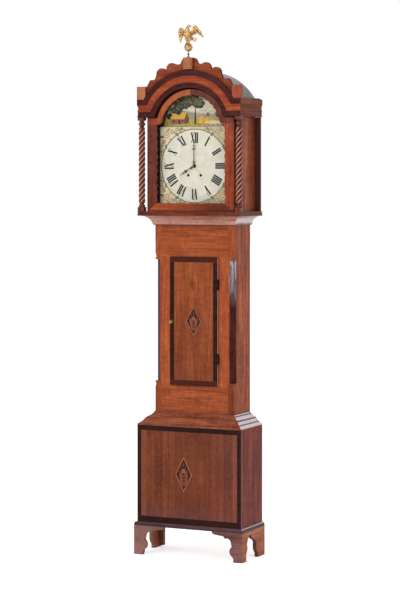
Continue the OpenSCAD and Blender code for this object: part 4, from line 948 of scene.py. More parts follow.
def chapter_shapes():
    """Twelve Roman hours standing on a ring, minute dots outside them and a ring at the disc's edge."""
    found = []
    foot, top = 0.0968, 0.1410
    pitch, thick, thin, serif = 0.0086, 0.0069, 0.0021, 0.0013
    dots_r, bow_z = 0.1472, dial_middle - 0.046
    hours = ["XII", "I", "II", "III", "IIII", "V", "VI", "VII", "VIII", "IX", "X", "XI"]

    def lay(points, angle):
        found.append(
            (
                [
                    (
                        u * math.cos(angle) + v * math.sin(angle),
                        dial_middle - u * math.sin(angle) + v * math.cos(angle),
                    )
                    for u, v in points
                ],
                1,
                0,
            )
        )

    def stroke(u0, v0, u1, v1, width, angle):
        half = width / 2
        lay([(u0 - half, v0), (u0 + half, v0), (u1 + half, v1), (u1 - half, v1)], angle)

    for hour, letters in enumerate(hours):
        angle = math.radians(30 * hour)
        wide = {"I": 1.0, "V": 2.0, "X": 2.1}
        u = -sum(wide[c] for c in letters) * pitch / 2
        for letter in letters:
            w = wide[letter] * pitch
            if letter == "I":
                stroke(u + w / 2, foot, u + w / 2, top, thick, angle)
                for v in (foot, top - serif):
                    lay(
                        [
                            (u + 0.0004, v),
                            (u + w - 0.0004, v),
                            (u + w - 0.0004, v + serif),
                            (u + 0.0004, v + serif),
                        ],
                        angle,
                    )
            elif letter == "V":
                stroke(u + w / 2, foot, u + 0.003, top, thick, angle)
                stroke(u + w / 2, foot, u + w - 0.002, top, thin, angle)
            else:
                stroke(u + w - 0.003, foot, u + 0.003, top, thick, angle)
                stroke(u + 0.002, foot, u + w - 0.002, top, thin, angle)
            if letter != "I":
                lay([(u - 0.0004, top - serif), (u + w, top - serif), (u + w, top), (u - 0.0004, top)], angle)
            u += w
    for minute in range(60):
        a = math.radians(6 * minute)
        r = 0.0015 if minute % 5 == 0 else 0.0007
        found.append((circle_points(dots_r * math.sin(a), dial_middle + dots_r * math.cos(a), r, 10), 1, 0))
    found += ring_shapes(0, dial_middle, disc_r - 0.0005, disc_r + 0.0012, 3, 1)
    found += ring_shapes(0, dial_middle, disc_r + 0.0012, disc_r + 0.0034, 3, 2)
    # A faint drawn bow under the middle, seen between the hour hand and the right-hand winding hole
    for inner, outer in ((0.0325, 0.0336), (0.0270, 0.0277)):
        found += ring_shapes(0, bow_z, inner, outer, 1, 3, 0.5, math.pi - 0.5, 40)
    return found


# Ivory black, umber line, dull gold size and a thin grey wash
ivory_black = paint("ivory_black_paint", "#0d0c0b", "#1c1917")
umber = paint("umber_paint", "#5d3c22", "#7b5532")
gold_size = paint("dull_gold_paint", "#b28a42", "#8d672e")
grey_wash = paint("grey_wash_paint", "#a59f8a", "#b9b4a0")
flat_pieces(
    "dial_hours",
    chapter_shapes(),
    [ivory_black, umber, gold_size, grey_wash],
    dial_face,
    "root",
)


def spray_shapes(side, up):
    """A corner spray: a flower with two buds, fruit and leaves on both sides. Side and up are 1 or -1."""
    found = []

    def at(degrees, r):
        a = math.radians(45 + degrees)
        return side * r * math.cos(a), dial_middle + up * r * math.sin(a)

    def leaf(degrees, r, length, width, turn, number, layer=2):
        x, z = at(degrees, r)
        a = math.radians(turn)
        a = math.atan2(up * math.sin(a), side * math.cos(a))
        found.append((blade(x, z, length, width, a, 0.5 * side * up), layer, number))
        found.append((blade(x, z, length * 0.85, width * 0.16, a, 0.5 * side * up), layer + 1, 0))

    for low, high, r in ((-26, -6, 163.0), (6, 26, 163.0)):
        stem = [
            at(low + (high - low) * i / 12, (r + 14 * (1 - abs(low + (high - low) * i / 12) / 26)) / 1000)
            for i in range(13)
        ]
        for (x0, z0), (x1, z1) in zip(stem, stem[1:]):
            length = math.hypot(x1 - x0, z1 - z0)
            nx, nz = -(z1 - z0) / length * 0.0009, (x1 - x0) / length * 0.0009
            found.append(
                ([(x0 + nx, z0 + nz), (x1 + nx, z1 + nz), (x1 - nx, z1 - nz), (x0 - nx, z0 - nz)], 1, 0)
            )
    plan = [
        (-25, 161, 13, 5, -70, 1),
        (-21, 165, 16, 7, -40, 2),
        (-18, 163, 17, 7, -95, 1),
        (-14, 170, 20, 8, -25, 3),
        (-11, 166, 19, 9, -110, 2),
    ]
    plan += [
        (25, 161, 13, 5, 160, 1),
        (21, 165, 16, 7, 130, 2),
        (18, 163, 17, 7, 185, 1),
        (14, 170, 20, 8, 115, 3),
        (11, 166, 19, 9, 200, 2),
    ]
    plan += [
        (-6, 176, 24, 10, -60, 1),
        (6, 176, 24, 10, 150, 3),
        (-3, 190, 20, 9, -20, 2),
        (3, 190, 20, 9, 110, 1),
        (0, 168, 15, 8, 225, 3),
    ]
    for degrees, r, length, width, turn, number in plan:
        leaf(degrees, r / 1000, length / 840, width / 780, turn, number)
    for degrees, r, size, outer, inner in (
        (0, 0.186, 0.0155, 4, 5), (-9, 0.178, 0.0080, 6, 4), (9, 0.179, 0.0085, 6, 5)
    ):
        x, z = at(degrees, r)
        for petal in range(8):
            a = math.pi / 4 * petal + 0.3
            found.append(
                (
                    circle_points(
                        x + 0.62 * size * math.cos(a), z + 0.62 * size * math.sin(a), 0.40 * size, 12
                    ),
                    4,
                    outer,
                )
            )
        for petal in range(7):
            a = math.tau / 7 * petal
            found.append(
                (
                    circle_points(
                        x + 0.36 * size * math.cos(a), z + 0.36 * size * math.sin(a), 0.30 * size, 12
                    ),
                    5,
                    inner,
                )
            )
        found.append((circle_points(x, z, 0.22 * size, 12), 6, 7))
    for degrees, r in ((-16, 0.1765), (-19.5, 0.172), (16.5, 0.1765), (20, 0.1715)):
        x, z = at(degrees, r)
        found.append((circle_points(x, z, 0.0042, 14), 4, 6))
        found.append((circle_points(x - 0.001, z + 0.001, 0.0017, 10), 5, 5))
    return found


# Thin oils of the corner sprays: brown stems, olive, dark and bluish leaves, orange flowers, rust fruit
spray_paints = [
    paint("spray_stem_paint", "#8c7650", "#a28c62"),
    paint("spray_olive_paint", "#a39b6c", "#beb68a"),
    paint("spray_dark_leaf_paint", "#7c7650", "#98906a"),
    paint("spray_blue_leaf_paint", "#b0b4a0", "#c8cab4"),
    paint("spray_orange_paint", "#cf9f66", "#e0bd8a"),
    paint("spray_straw_paint", "#ecd9a4", "#f2e4bc"),
    paint("spray_rust_paint", "#b57a52", "#c9946c"),
    paint("spray_eye_paint", "#875c38", "#a07648"),
]
sprays = [shape for side in (-1, 1) for up in (-1, 1) for shape in spray_shapes(side, up)]
flat_pieces("dial_sprays", sprays, spray_paints, dial_face, "root")


def cottage_shapes():
    """Sky, far hills, a meadow with a pond, a tree and a thatched cottage, all inside the arch."""
    rnd = random.Random(7)
    found = []
    edge, floor_z = 0.1462, dial_middle + 0.1655

    def clip(points):
        kept = []
        for x, z in points:
            r = math.hypot(x, z - arch_centre)
            if r > edge:
                x, z = x * edge / r, arch_centre + (z - arch_centre) * edge / r
            kept.append((x, max(z, floor_z)))
        return kept

    def shape(points, layer, number):
        found.append((clip([(x, floor_z + z) for x, z in points]), layer, number))

    start = math.asin((floor_z - arch_centre) / edge)
    arc = [start + (math.pi - 2 * start) * i / 60 for i in range(61)]
    found.append(([(edge * math.cos(a), arch_centre + edge * math.sin(a)) for a in arc], 0, 0))

    def ridge(x0, x1, base, height, bumps, layer, number):
        points = [(x1, 0.0), (x0, 0.0)]
        for i in range(25):
            points.append((x0 + (x1 - x0) * i / 24, base + height * math.sin(bumps * i / 24 + layer) * 0.5))
        shape(points, layer, number)

    ridge(-0.145, 0.145, 0.062, 0.022, 5.0, 1, 1)
    ridge(0.010, 0.145, 0.050, 0.014, 3.2, 2, 2)
    ridge(-0.145, 0.145, 0.034, 0.008, 4.0, 3, 3)
    ridge(0.030, 0.145, 0.020, 0.007, 2.5, 4, 4)

    def foliage(x, z, spread, count, size, layer, number):
        for _ in range(count):
            a, d = rnd.uniform(0, 2 * math.pi), spread * math.sqrt(rnd.random())
            u, v = x + d * math.cos(a), floor_z + z + 0.75 * d * math.sin(a)
            if math.hypot(u, v - arch_centre) < edge - size and v > floor_z + size:
                found.append(
                    (
                        circle_points(u, v, size * rnd.uniform(0.6, 1.1), 9, rnd.uniform(0.5, 0.9), a),
                        layer,
                        number,
                    )
                )

    # Pond with a pale bank
    found.append((circle_points(0.088, floor_z + 0.0165, 0.040, 30, 0.22), 5, 9))
    found.append((circle_points(0.087, floor_z + 0.0175, 0.036, 30, 0.18), 6, 0))
    # Cottage, gable to the right: walls, door, two windows, thatch, chimney
    shape([(-0.112, 0.012), (-0.048, 0.012), (-0.048, 0.036), (-0.112, 0.036)], 8, 12)
    shape([(-0.048, 0.012), (-0.026, 0.015), (-0.026, 0.037), (-0.037, 0.056), (-0.048, 0.036)], 8, 11)
    shape([(-0.120, 0.033), (-0.046, 0.032), (-0.036, 0.060), (-0.106, 0.063)], 9, 8)
    shape(
        [
            (-0.046, 0.032),
            (-0.036, 0.060),
            (-0.032, 0.057),
            (-0.022, 0.034),
            (-0.026, 0.034),
            (-0.037, 0.053),
        ],
        9,
        10,
    )
    for i in range(15):
        x = -0.116 + 0.0048 * i
        shape(
            [(x, 0.0335), (x + 0.0016, 0.0335), (x + 0.0138, 0.0600), (x + 0.0126, 0.0603)],
            10,
            9 if i % 2 else 10,
        )
    shape([(-0.094, 0.060), (-0.085, 0.060), (-0.085, 0.074), (-0.094, 0.074)], 11, 11)
    shape([(-0.075, 0.012), (-0.066, 0.012), (-0.066, 0.029), (-0.075, 0.029)], 11, 6)
    for x in (-0.100, -0.060):
        shape([(x, 0.020), (x + 0.008, 0.020), (x + 0.008, 0.028), (x, 0.028)], 11, 5)
    # Tall trees over and beside it, and small ones across the pond
    for x, width, top in ((0.004, 0.0050, 0.080), (-0.060, 0.0036, 0.080), (0.124, 0.0020, 0.046)):
        shape([(x - width, 0.012), (x + width, 0.012), (x + width * 0.4, top), (x - width * 0.4, top)], 7, 6)
    for x, z, spread in (
        (-0.088, 0.082, 0.036), (-0.052, 0.104, 0.036), (-0.008, 0.114, 0.030), (0.022, 0.098, 0.022)
    ):
        foliage(x, z, spread, 80, 0.0085, 12, 5)
        foliage(x - 0.004, z + 0.005, spread * 0.95, 46, 0.0052, 13, 7)
    foliage(-0.122, 0.046, 0.014, 26, 0.0060, 12, 5)
    foliage(0.060, 0.050, 0.010, 18, 0.0046, 6, 7)
    foliage(0.112, 0.050, 0.016, 34, 0.0055, 7, 5)
    foliage(0.110, 0.053, 0.013, 12, 0.0036, 8, 7)
    # Haycocks in the meadow, a path and grasses
    shape([(-0.070, 0.012), (-0.064, 0.012), (-0.014, 0.0), (-0.044, 0.0)], 7, 4)
    for x, z, w, h in ((0.034, 0.013, 0.030, 0.030), (0.062, 0.024, 0.018, 0.018)):
        mound = [
            (x + w / 2 * math.cos(math.pi * i / 12), z + h * math.sin(math.pi * i / 12) ** 0.8)
            for i in range(13)
        ]
        shape(mound, 14, 8)
        for i in range(5):
            u = x - w * 0.36 + w * 0.18 * i
            shape(
                [
                    (u, z),
                    (u + w * 0.06, z),
                    ((u + x) / 2 + w * 0.02, z + h * 0.82),
                    ((u + x) / 2, z + h * 0.82),
                ],
                15,
                9 if i < 3 else 10,
            )
    for i in range(26):
        foliage(-0.135 + 0.0105 * i, 0.006 + 0.002 * (i % 3), 0.006, 4, 0.0026, 15, 7 if i % 2 else 3)
    shape([(-0.146, 0.0), (0.146, 0.0), (0.146, 0.0016), (-0.146, 0.0016)], 16, 6)
    return found


# Oil colours of the arch: grey-green sky, grey and mauve hills, meadow, dark trees, thatch and brick
arch_paints = [
    paint("arch_sky_paint", "#c2bea6", "#f0e2c6", 0.018),
    paint("arch_far_hill_paint", "#85907a", "#b0ac8e", 0.010),
    paint("arch_mauve_hill_paint", "#a98474", "#caa48c", 0.009),
    paint("arch_meadow_paint", "#9c9130", "#cdb944", 0.008),
    paint("arch_field_paint", "#b48c6c", "#d6ae88", 0.008),
    paint("arch_tree_paint", "#22241b", "#43422d", 0.005),
    paint("arch_bark_paint", "#2e1a10", "#4a2e1b", 0.003),
    paint("arch_leaf_paint", "#575935", "#7c7947", 0.004),
    paint("arch_thatch_paint", "#d49c1e", "#ecc238", 0.003),
    paint("arch_straw_paint", "#f4d860", "#e8c040", 0.003),
    paint("arch_thatch_shade_paint", "#8e5a16", "#b07a22", 0.003),
    paint("arch_brick_shade_paint", "#6b2c24", "#854038", 0.003),
    paint("arch_brick_paint", "#a8605a", "#8c4a42", 0.003),
]
flat_pieces("dial_arch_scene", cottage_shapes(), arch_paints, dial_face, "root")
# Blued steel, filed thin, nearly black with a brown cast
dress(metal("blued_steel_hands", "#3b3029", "#564538", 0.34), "minute_hand", "hour_hand")


# Hood. Moulded base frame, dark mask round the dial, solid sides, a barrel roof, and over the arch
# a dark band, an orange cove and a dark band, under a fretted cresting with three blocks.
# Base frame moulding, dark red brown, grain along it
dress(timber("mahogany_hood_base", ("#3a110a", "#662716", "#8c4226"), "x", 20.0, 0.24), "hood_base_frame")
# Mask behind the glass, stained nearly black
dress(
    timber("ebonised_mask", ("#0a090c", "#15121a", "#221a20"), "z", 21.0, 0.45, shine=0.15, coat=0.0),
    "hood_front_frame",
)


def hood_side_wood():
    """A board with an orange-brown middle and painted shade towards the columns and the wall."""
    mat, surface = new_material("mahogany_hood_sides")
    place, xyz = place_of(mat)
    board, ribbon, pores = grain_colour(
        mat, place, "z", ("#4c1a0b", "#9c4a28", "#cc7846"), 22.0, 0.034, 0.012
    )
    aside = add(
        mat, "Math", add(mat, "Math", xyz[1], side_front + 0.075, operation="SUBTRACT"), operation="ABSOLUTE"
    )
    # Painted shade towards the columns and the wall
    dark = add(mat, "MapRange", aside, 0.015, 0.065, 0.0, 0.55)
    polish(
        mat,
        surface,
        add(mat, "Mix", dark, board, colour("#5a2016"), data_type="RGBA"),
        ribbon,
        pores,
        0.26,
        shine=0.12,
        coat=0.02,
    )
    return mat


side_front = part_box("hood_sides")[0][1]
# Hood sides, red brown with a strong vertical stripe
dress(hood_side_wood(), "hood_sides")
# Roof of thin boards, tinted grey as a painted sheen
dress(
    timber("grey_sheen_roof_boards", ("#473d44", "#675b65", "#877b88"), "y", 23.0, 0.24, 0.060, coat=0.2),
    "hood_roof",
)


def cornice_wood(name, front, back, seed, gloss):
    """A moulding's front tones and, on its returns, a plainer brown board with a dark top edge."""
    mat, surface = new_material(name)
    place, xyz = place_of(mat)
    face = facing(mat)
    bright, ribbon, pores = grain_colour(mat, place, "x", front, seed, 0.036)
    side, _, _ = grain_colour(mat, place, "y", back, seed + 3.0, 0.020)
    edge_h, return_x = 0.007, 0.2302
    edge = add(mat, "Math", xyz[2], cornice_top - edge_h, operation="GREATER_THAN")
    side = add(
        mat,
        "Mix",
        add(mat, "Math", edge, 0.92, operation="MULTIPLY"),
        side,
        colour("#1c0c0e"),
        data_type="RGBA",
    )
    turned = masked(
        mat,
        (add(mat, "Math", face[0], operation="ABSOLUTE"), "GREATER_THAN", 0.6),
        (add(mat, "Math", xyz[0], operation="ABSOLUTE"), "GREATER_THAN", return_x),
    )
    polish(
        mat,
        surface,
        add(mat, "Mix", turned, bright, side, data_type="RGBA"),
        ribbon,
        pores,
        gloss,
        shine=0.08,
        coat=0.02,
    )
    return mat


cornice_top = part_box("cornice_dark_bands")[1][2]
return_tones = ("#451a0f", "#74361f", "#94502c")
# Dark bands of rosewood, and the cove between them of bright orange mahogany
dress(
    cornice_wood("rosewood_cornice", ("#260b0a", "#431713", "#5a2620"), return_tones, 24.0, 0.30),
    "cornice_dark_bands",
)
dress(
    cornice_wood("mahogany_cove", ("#6f2a16", "#963f24", "#b35a34"), return_tones, 25.0, 0.36), "cornice_cove"
)


def cresting_wood():
    """A thin red-brown board with a level grain, with painted shade along its outline and on its sawn edges.
    """
    mat, surface = new_material("mahogany_cresting")
    place, _ = place_of(mat)
    tint, ribbon, pores = grain_colour(mat, place, "x", ("#541f12", "#843a22", "#a25532"), 26.0, 0.034)
    # Painted shade on the sawn edges and in a band along the outline
    side = add(mat, "Math", facing(mat)[1], -0.5, operation="GREATER_THAN")
    wide = add(mat, "Bevel", 0.0045, samples=8)
    flat_on = add(mat, "NewGeometry", output="True Normal")
    near = add(mat, "VectorMath", wide, flat_on, operation="DOT_PRODUCT")
    painted_edge_shade = add(mat, "MapRange", near, 0.90, 0.995, 0.8, 0.0)
    tint = add(mat, "Mix", painted_edge_shade, tint, colour("#2c100e"), data_type="RGBA")
    tint = add(
        mat,
        "Mix",
        add(mat, "Math", side, 0.9, operation="MULTIPLY"),
        tint,
        colour("#260e0d"),
        data_type="RGBA",
    )
    polish(mat, surface, tint, ribbon, pores, 0.40, 0.0004, shine=0.05, coat=0.0)
    return mat


dress(cresting_wood(), "cresting_board")


def block_wood():
    """Short upright grain; the right-hand block is redder."""
    mat, surface = new_material("mahogany_blocks")
    place, xyz = place_of(mat)
    tan, ribbon, pores = grain_colour(mat, place, "z", ("#743418", "#9c5530", "#b8764a"), 27.0)
    red, _, _ = grain_colour(mat, place, "z", ("#6a220e", "#963f20", "#b45c34"), 27.5)
    right = add(mat, "Math", xyz[0], 0.1, operation="GREATER_THAN")
    polish(mat, surface, add(mat, "Mix", right, tan, red, data_type="RGBA"), ribbon, pores, 0.36)
    return mat


# Blocks with upright grain, their edges pale as wear and painted highlight
dress(block_wood(), "cresting_blocks")


# Hood door. Two upright stiles, a mitred bottom rail and two arch pieces that meet at the top,
# each from a board of its own tone, with an arched pane of old glass.
def hood_door_wood():
    mat, surface = new_material("mahogany_hood_door")
    place, xyz = place_of(mat)
    bright, ribbon, pores = grain_colour(mat, place, "z", ("#64200d", "#8d3a1c", "#b95b2b"), 30.0, 0.026)
    deep, _, _ = grain_colour(mat, place, "z", ("#42150d", "#68291a", "#854028"), 31.0, 0.026)
    flat, _, _ = grain_colour(mat, place, "x", ("#7a2d14", "#a44a22", "#c4642e"), 32.0, 0.026)
    left = add(mat, "Math", xyz[0], 0.0, operation="LESS_THAN")
    arch_foot_z, rail_foot_z, half_w = 1.8195, 1.453, 0.200
    rail_h, stile_w = 31.0, 39.0
    upper = add(mat, "Math", xyz[2], arch_foot_z, operation="GREATER_THAN")
    deep_part = add(mat, "Math", add(mat, "Math", left, upper, operation="SUBTRACT"), operation="ABSOLUTE")
    tint = add(mat, "Mix", deep_part, bright, deep, data_type="RGBA")
    # The left arch piece is tinted paler towards its top, to offset the cornice's shadow
    climb = add(mat, "MapRange", xyz[2], 1.85, 1.90, 0.0, 0.32)
    pale = add(
        mat,
        "Math",
        masked(mat, (left, "GREATER_THAN", 0.5), (upper, "GREATER_THAN", 0.5)),
        climb,
        operation="MULTIPLY",
    )
    tint = add(mat, "Mix", pale, tint, colour("#d4763c"), data_type="RGBA")
    run = add(mat, "Math", half_w, add(mat, "Math", xyz[0], operation="ABSOLUTE"), operation="SUBTRACT")
    rise = add(mat, "Math", xyz[2], rail_foot_z, operation="SUBTRACT")
    rail = add(
        mat,
        "Math",
        rise,
        add(mat, "Math", run, rail_h / stile_w, operation="MULTIPLY"),
        operation="LESS_THAN",
    )
    # Painted shade darkens the bottom rail towards the right
    shade = add(mat, "MapRange", xyz[0], -0.12, 0.10, 0.0, 0.86)
    flat = add(mat, "Mix", shade, flat, colour("#54180d"), data_type="RGBA")
    tint = add(mat, "Mix", rail, tint, flat, data_type="RGBA")
    polish(mat, surface, tint, ribbon, pores, 0.27, 0.0016)
    return mat


dress(hood_door_wood(), "hood_door_frame")
glass, surface = new_material("old_crown_glass")
# Thin blown glass, clear
surface.inputs["Base Color"].default_value = colour("#10201c")
surface.inputs["Roughness"].default_value = 0.02
surface.inputs["IOR"].default_value = 1.45
surface.inputs["Alpha"].default_value = 0.06
dress(glass, "hood_door_glass")


# Twist columns. Turned from one length of mahogany each: a square foot, a bead, four rope strands
# carved round the shaft, a ball and a square cap; they stand free of the hood's corners.
column_low, column_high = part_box("twist_columns")
column_r = 0.014
column_x = column_high[0] - column_r
column_y = column_low[1] + column_r
shaft_low, shaft_high = column_low[2] + 0.0379, column_low[2] + 0.3489
twist_pitch = 0.088


def strand_radius(angle):
    """Radius of the four-strand rope at an angle round the shaft: four rods of 6.4 mm set 7.6 mm out."""
    rod, out = 0.0064, 0.0076
    turn = (angle + math.pi / 4) % (math.pi / 2) - math.pi / 4
    return out * math.cos(turn) + math.sqrt(rod**2 - (out * math.sin(turn)) ** 2)


def column_mesh(name, x):
    """One column: a lathe profile below and above, and the carved twist between."""
    work = bmesh.new()
    around = 72
    low_profile = [(0.0, 0.018), (9.5, 0.018), (12.5, 0.0188), (13.9, 0.021), (13.9, 0.0245), (12.5, 0.027)]
    low_profile += [(9.8, 0.028), (9.4, 0.0305), (10.0, 0.0325), (12.2, 0.0333), (12.9, 0.035)]
    low_profile += [(12.2, 0.0367), (10.2, 0.0375)]
    top = shaft_high - column_low[2]
    high_profile = [
        (10.2, 0.0005),
        (12.4, 0.0012),
        (13.0, 0.003),
        (12.4, 0.0048),
        (9.2, 0.006),
        (8.2, 0.0085),
        (9.4, 0.0105),
    ]
    high_profile += [
        (12.2, 0.0130), (13.7, 0.0168), (13.9, 0.0195), (13.2, 0.0230), (11.2, 0.0265), (8.8, 0.0290),
    ]
    high_profile += [(8.8, 0.0300), (11.2, 0.0308), (11.4, 0.0335), (0.0, 0.0338)]
    rings = [(r / 1000, z, None) for r, z in low_profile]
    steps = 200
    for i in range(steps + 1):
        z = shaft_low - column_low[2] + (shaft_high - shaft_low) * i / steps
        rings.append((1.0, z, 2 * math.pi * (z - (shaft_low - column_low[2])) / twist_pitch))
    rings += [(r / 1000, top + z, None) for r, z in high_profile]
    rows = []
    for r, z, turn in rings:
        row = []
        for k in range(around):
            a = 2 * math.pi * k / around
            radius = r if turn is None else strand_radius(a - turn)
            row.append(
                work.verts.new((x + radius * math.cos(a), column_y + radius * math.sin(a), column_low[2] + z))
            )
        rows.append(row)
    for low_row, high_row in zip(rows, rows[1:]):
        for k in range(around):
            n = (k + 1) % around
            work.faces.new((low_row[k], low_row[n], high_row[n], high_row[k]))
    bmesh.ops.remove_doubles(work, verts=work.verts, dist=0.00001)
    for face in work.faces:
        face.smooth = True
    foot_block, cap_block = (0.0, 0.018), (0.383, 0.3968)
    for z0, z1 in (foot_block, cap_block):
        box = bmesh.ops.create_cube(work, size=1.0)["verts"]
        for v in box:
            v.co.x = x + v.co.x * 2 * column_r
            v.co.y = column_y + v.co.y * 2 * column_r
            v.co.z = column_low[2] + z0 + (v.co.z + 0.5) * (z1 - z0)
        edges = list({e for v in box for e in v.link_edges})
        bmesh.ops.bevel(work, geom=edges, offset=0.0008, segments=2, affect="EDGES")
    mesh = bpy.data.meshes.new(name)
    work.to_mesh(mesh)
    work.free()
    piece = bpy.data.objects.new(name, mesh)
    bpy.context.scene.collection.objects.link(piece)
    return piece


# Turned mahogany, with painted shade in the hollows and a painted highlight on the strands
column_wood, surface = new_material("carved_mahogany_columns")
place, xyz = place_of(column_wood)
tint, ribbon, pores = grain_colour(column_wood, place, "z", ("#481810", "#6a2f21", "#844737"), 40.0, 0.018)
aside = add(
    column_wood,
    "Math",
    add(column_wood, "Math", xyz[0], operation="ABSOLUTE"),
    column_x,
    operation="SUBTRACT",
)
ahead = add(column_wood, "Math", xyz[1], column_y, operation="SUBTRACT")
flat = add(column_wood, "CombineXYZ", aside, ahead)
out = add(column_wood, "VectorMath", flat, operation="LENGTH")
# Painted shade in the grooves and a painted highlight on the crests of the strands
painted_groove_shade = add(column_wood, "MapRange", out, 0.0092, 0.0122, 0.92, 0.0)
crest = add(column_wood, "MapRange", out, 0.0130, 0.0140, 0.0, 0.6)
shaft = masked(column_wood, (xyz[2], "GREATER_THAN", shaft_low), (xyz[2], "LESS_THAN", shaft_high))
tint = add(
    column_wood,
    "Mix",
    add(column_wood, "Math", shaft, crest, operation="MULTIPLY"),
    tint,
    colour("#dba48e"),
    data_type="RGBA",
)
tint = add(column_wood, "Mix", painted_groove_shade, tint, colour("#230a09"), data_type="RGBA")
polish(column_wood, surface, tint, ribbon, pores, 0.24, 0.0006, coat=0.3)
columns = [column_mesh("twist_column_left", -column_x), column_mesh("twist_column_right", column_x)]
for column in columns:
    column.data.materials.append(column_wood)
    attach(column, "hood")
    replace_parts(column, "twist_columns")


# Eagle finial. Cast and gilt metal on a steel-grey spike: a hollow ball with a seam, the bird with its
# head turned to the right, the near wing spread wide and the far one folded, every feather chased.
finial_low, finial_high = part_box("eagle_finial")
finial_y = -0.1005
ball_r = 0.018
perch_z = finial_high[2] - 0.078


def smooth_line(points, count):
    """A Catmull-Rom curve through points of any length."""
    ends = [points[0]] + list(points) + [points[-1]]
    found = []
    for i in range(count + 1):
        t = i / count * (len(points) - 1)
        k = min(int(t), len(points) - 2)
        f = t - k
        a, b, c, d = ends[k : k + 4]
        found.append(
            [
                0.5 * (
                    2 * q + (r - p) * f + (2 * p - 5 * q + 4 * r - s) * f * f + (3 * q - p - 3 * r + s) * f**3
                )
                for p, q, r, s in zip(a, b, c, d)
            ]
        )
    return found


def drawn_form(work, points, count=24, around=20, flat=1.0):
    """A round form drawn along a curve. Each point is x, y and z in mm over the perch, and its radius."""
    rows = []
    line = smooth_line(points, count)
    for i, (x, y, z, r) in enumerate(line):
        before, after = line[max(0, i - 1)], line[min(count, i + 1)]
        along = Vector([after[k] - before[k] for k in range(3)]).normalized()
        side = along.cross(Vector((0, 1, 0.01))).normalized()
        front = side.cross(along).normalized()
        row = []
        for k in range(around):
            a = 2 * math.pi * k / around
            offset = side * (r * math.cos(a)) + front * (r * flat * math.sin(a))
            row.append(
                work.verts.new(
                    ((x + offset.x) / 1000, finial_y + (y + offset.y) / 1000, perch_z + (z + offset.z) / 1000)
                )
            )
        rows.append(row)
    for low_row, high_row in zip(rows, rows[1:]):
        for k in range(around):
            n = (k + 1) % around
            work.faces.new((low_row[k], low_row[n], high_row[n], high_row[k]))
    work.faces.new(rows[0][::-1])
    work.faces.new(rows[-1])


def feather(work, root, tip, width, depth, bow=0.0, lift=1.0):
    """A chased feather: a pointed blade with a raised rib, from root to tip (x and z, mm), at a depth y."""
    length = math.hypot(tip[0] - root[0], tip[1] - root[1])
    ux, uz = (tip[0] - root[0]) / length, (tip[1] - root[1]) / length
    steps = 9
    front_rows, back_rows = [], []
    for i in range(steps + 1):
        t = i / steps
        half = width / 2 * math.sin(math.pi * (0.12 + 0.88 * t) ** 0.9) ** 0.55 if 0 < t < 1 else width * 0.1
        sway = bow * math.sin(math.pi * t)
        cx, cz = root[0] + ux * length * t - uz * sway, root[1] + uz * length * t + ux * sway
        y = depth - lift * math.sin(math.pi * t) * 0.8
        front, back = [], []
        for k in range(5):
            s = k / 2 - 1
            rib = 0.75 * (1 - abs(s)) + (0.18 if k == 2 else 0.0)
            x, z = cx - uz * half * s, cz + ux * half * s
            front.append(work.verts.new((x / 1000, finial_y + (y - rib) / 1000, perch_z + z / 1000)))
            back.append(
                work.verts.new(
                    (x / 1000, finial_y + (y + 0.5 + 0.3 * (1 - abs(s))) / 1000, perch_z + z / 1000)
                )
            )
        front_rows.append(front)
        back_rows.append(back)
    for i in range(steps):
        for k in range(4):
            work.faces.new(
                (front_rows[i][k], front_rows[i][k + 1], front_rows[i + 1][k + 1], front_rows[i + 1][k])
            )
            work.faces.new(
                (back_rows[i][k + 1], back_rows[i][k], back_rows[i + 1][k], back_rows[i + 1][k + 1])
            )
        for k in (0, 4):
            work.faces.new((front_rows[i][k], back_rows[i][k], back_rows[i + 1][k], front_rows[i + 1][k]))
    for i in (0, steps):
        for k in range(4):
            work.faces.new((front_rows[i][k], front_rows[i][k + 1], back_rows[i][k + 1], back_rows[i][k]))


def feather_row(work, roots, tips, count, width, depth, step=0.0, bow=0.0):
    """Feathers side by side between a line of roots and a line of tips."""
    starts, ends = smooth_line(roots, count), smooth_line(tips, count)
    for i, (start, end) in enumerate(zip(starts, ends)):
        feather(work, start, end, width, depth + step * i, bow)


bird = bmesh.new()
# Legs, feet, thighs, body and neck, head and hooked beak, all in mm over the top of the ball
for side in (-1, 1):
    drawn_form(
        bird,
        [
            (5 * side, -2, 10, 3.6),
            (5 * side, -2.5, 5, 2.0),
            (5 * side, -3, 1.5, 2.4),
            (5.4 * side, -4, 0.2, 2.2),
        ],
    )
    for lean in (-0.5, 0.0, 0.5):
        x = 5.2 * side + 5.5 * math.sin(lean)
        drawn_form(
            bird,
            [
                (5.2 * side, -3, 1.4, 1.7),
                (x, -7.0, 0.9, 1.5),
                (x * 1.06, -9.8, -2.2, 0.9),
                (x * 1.06, -10.6, -4.2, 0.3),
            ],
            12,
            10,
        )
    drawn_form(
        bird,
        [(5.5 * side, -1, 6, 4.0), (6 * side, -2, 12, 6.4), (6.5 * side, -2, 19, 8.2), (5 * side, -1, 27, 6)],
        14,
        16,
    )
drawn_form(
    bird,
    [
        (2, 3, 15, 4),
        (0, 0, 22, 11),
        (-1, -3, 31, 14.5),
        (-1.5, -4, 40, 15.5),
        (-2, -4, 49, 12.5),
        (-2, -4, 57, 8.6),
        (0, -5, 64, 6.8),
        (3, -6, 68.5, 7.0),
        (5, -6, 72, 5.2),
        (6, -6, 74.6, 2.4),
    ],
    44,
    28,
    0.82,
)
drawn_form(
    bird,
    [
        (4, -6, 71, 5.6),
        (9, -7, 71.2, 4.6),
        (14, -8, 70.6, 2.6),
        (17.6, -8.5, 68.2, 1.5),
        (18.6, -8.6, 65.0, 0.4),
    ],
    16,
    14,
)
for side in (-1, 1):
    drawn_form(
        bird,
        [
            (8.5, -7.5 + 4.0 * side, 72.2, 0.2),
            (9, -7.5 + 4.1 * side, 72.6, 1.1),
            (9.6, -7.5 + 4.0 * side, 72.2, 0.2),
        ],
        6,
        8,
    )
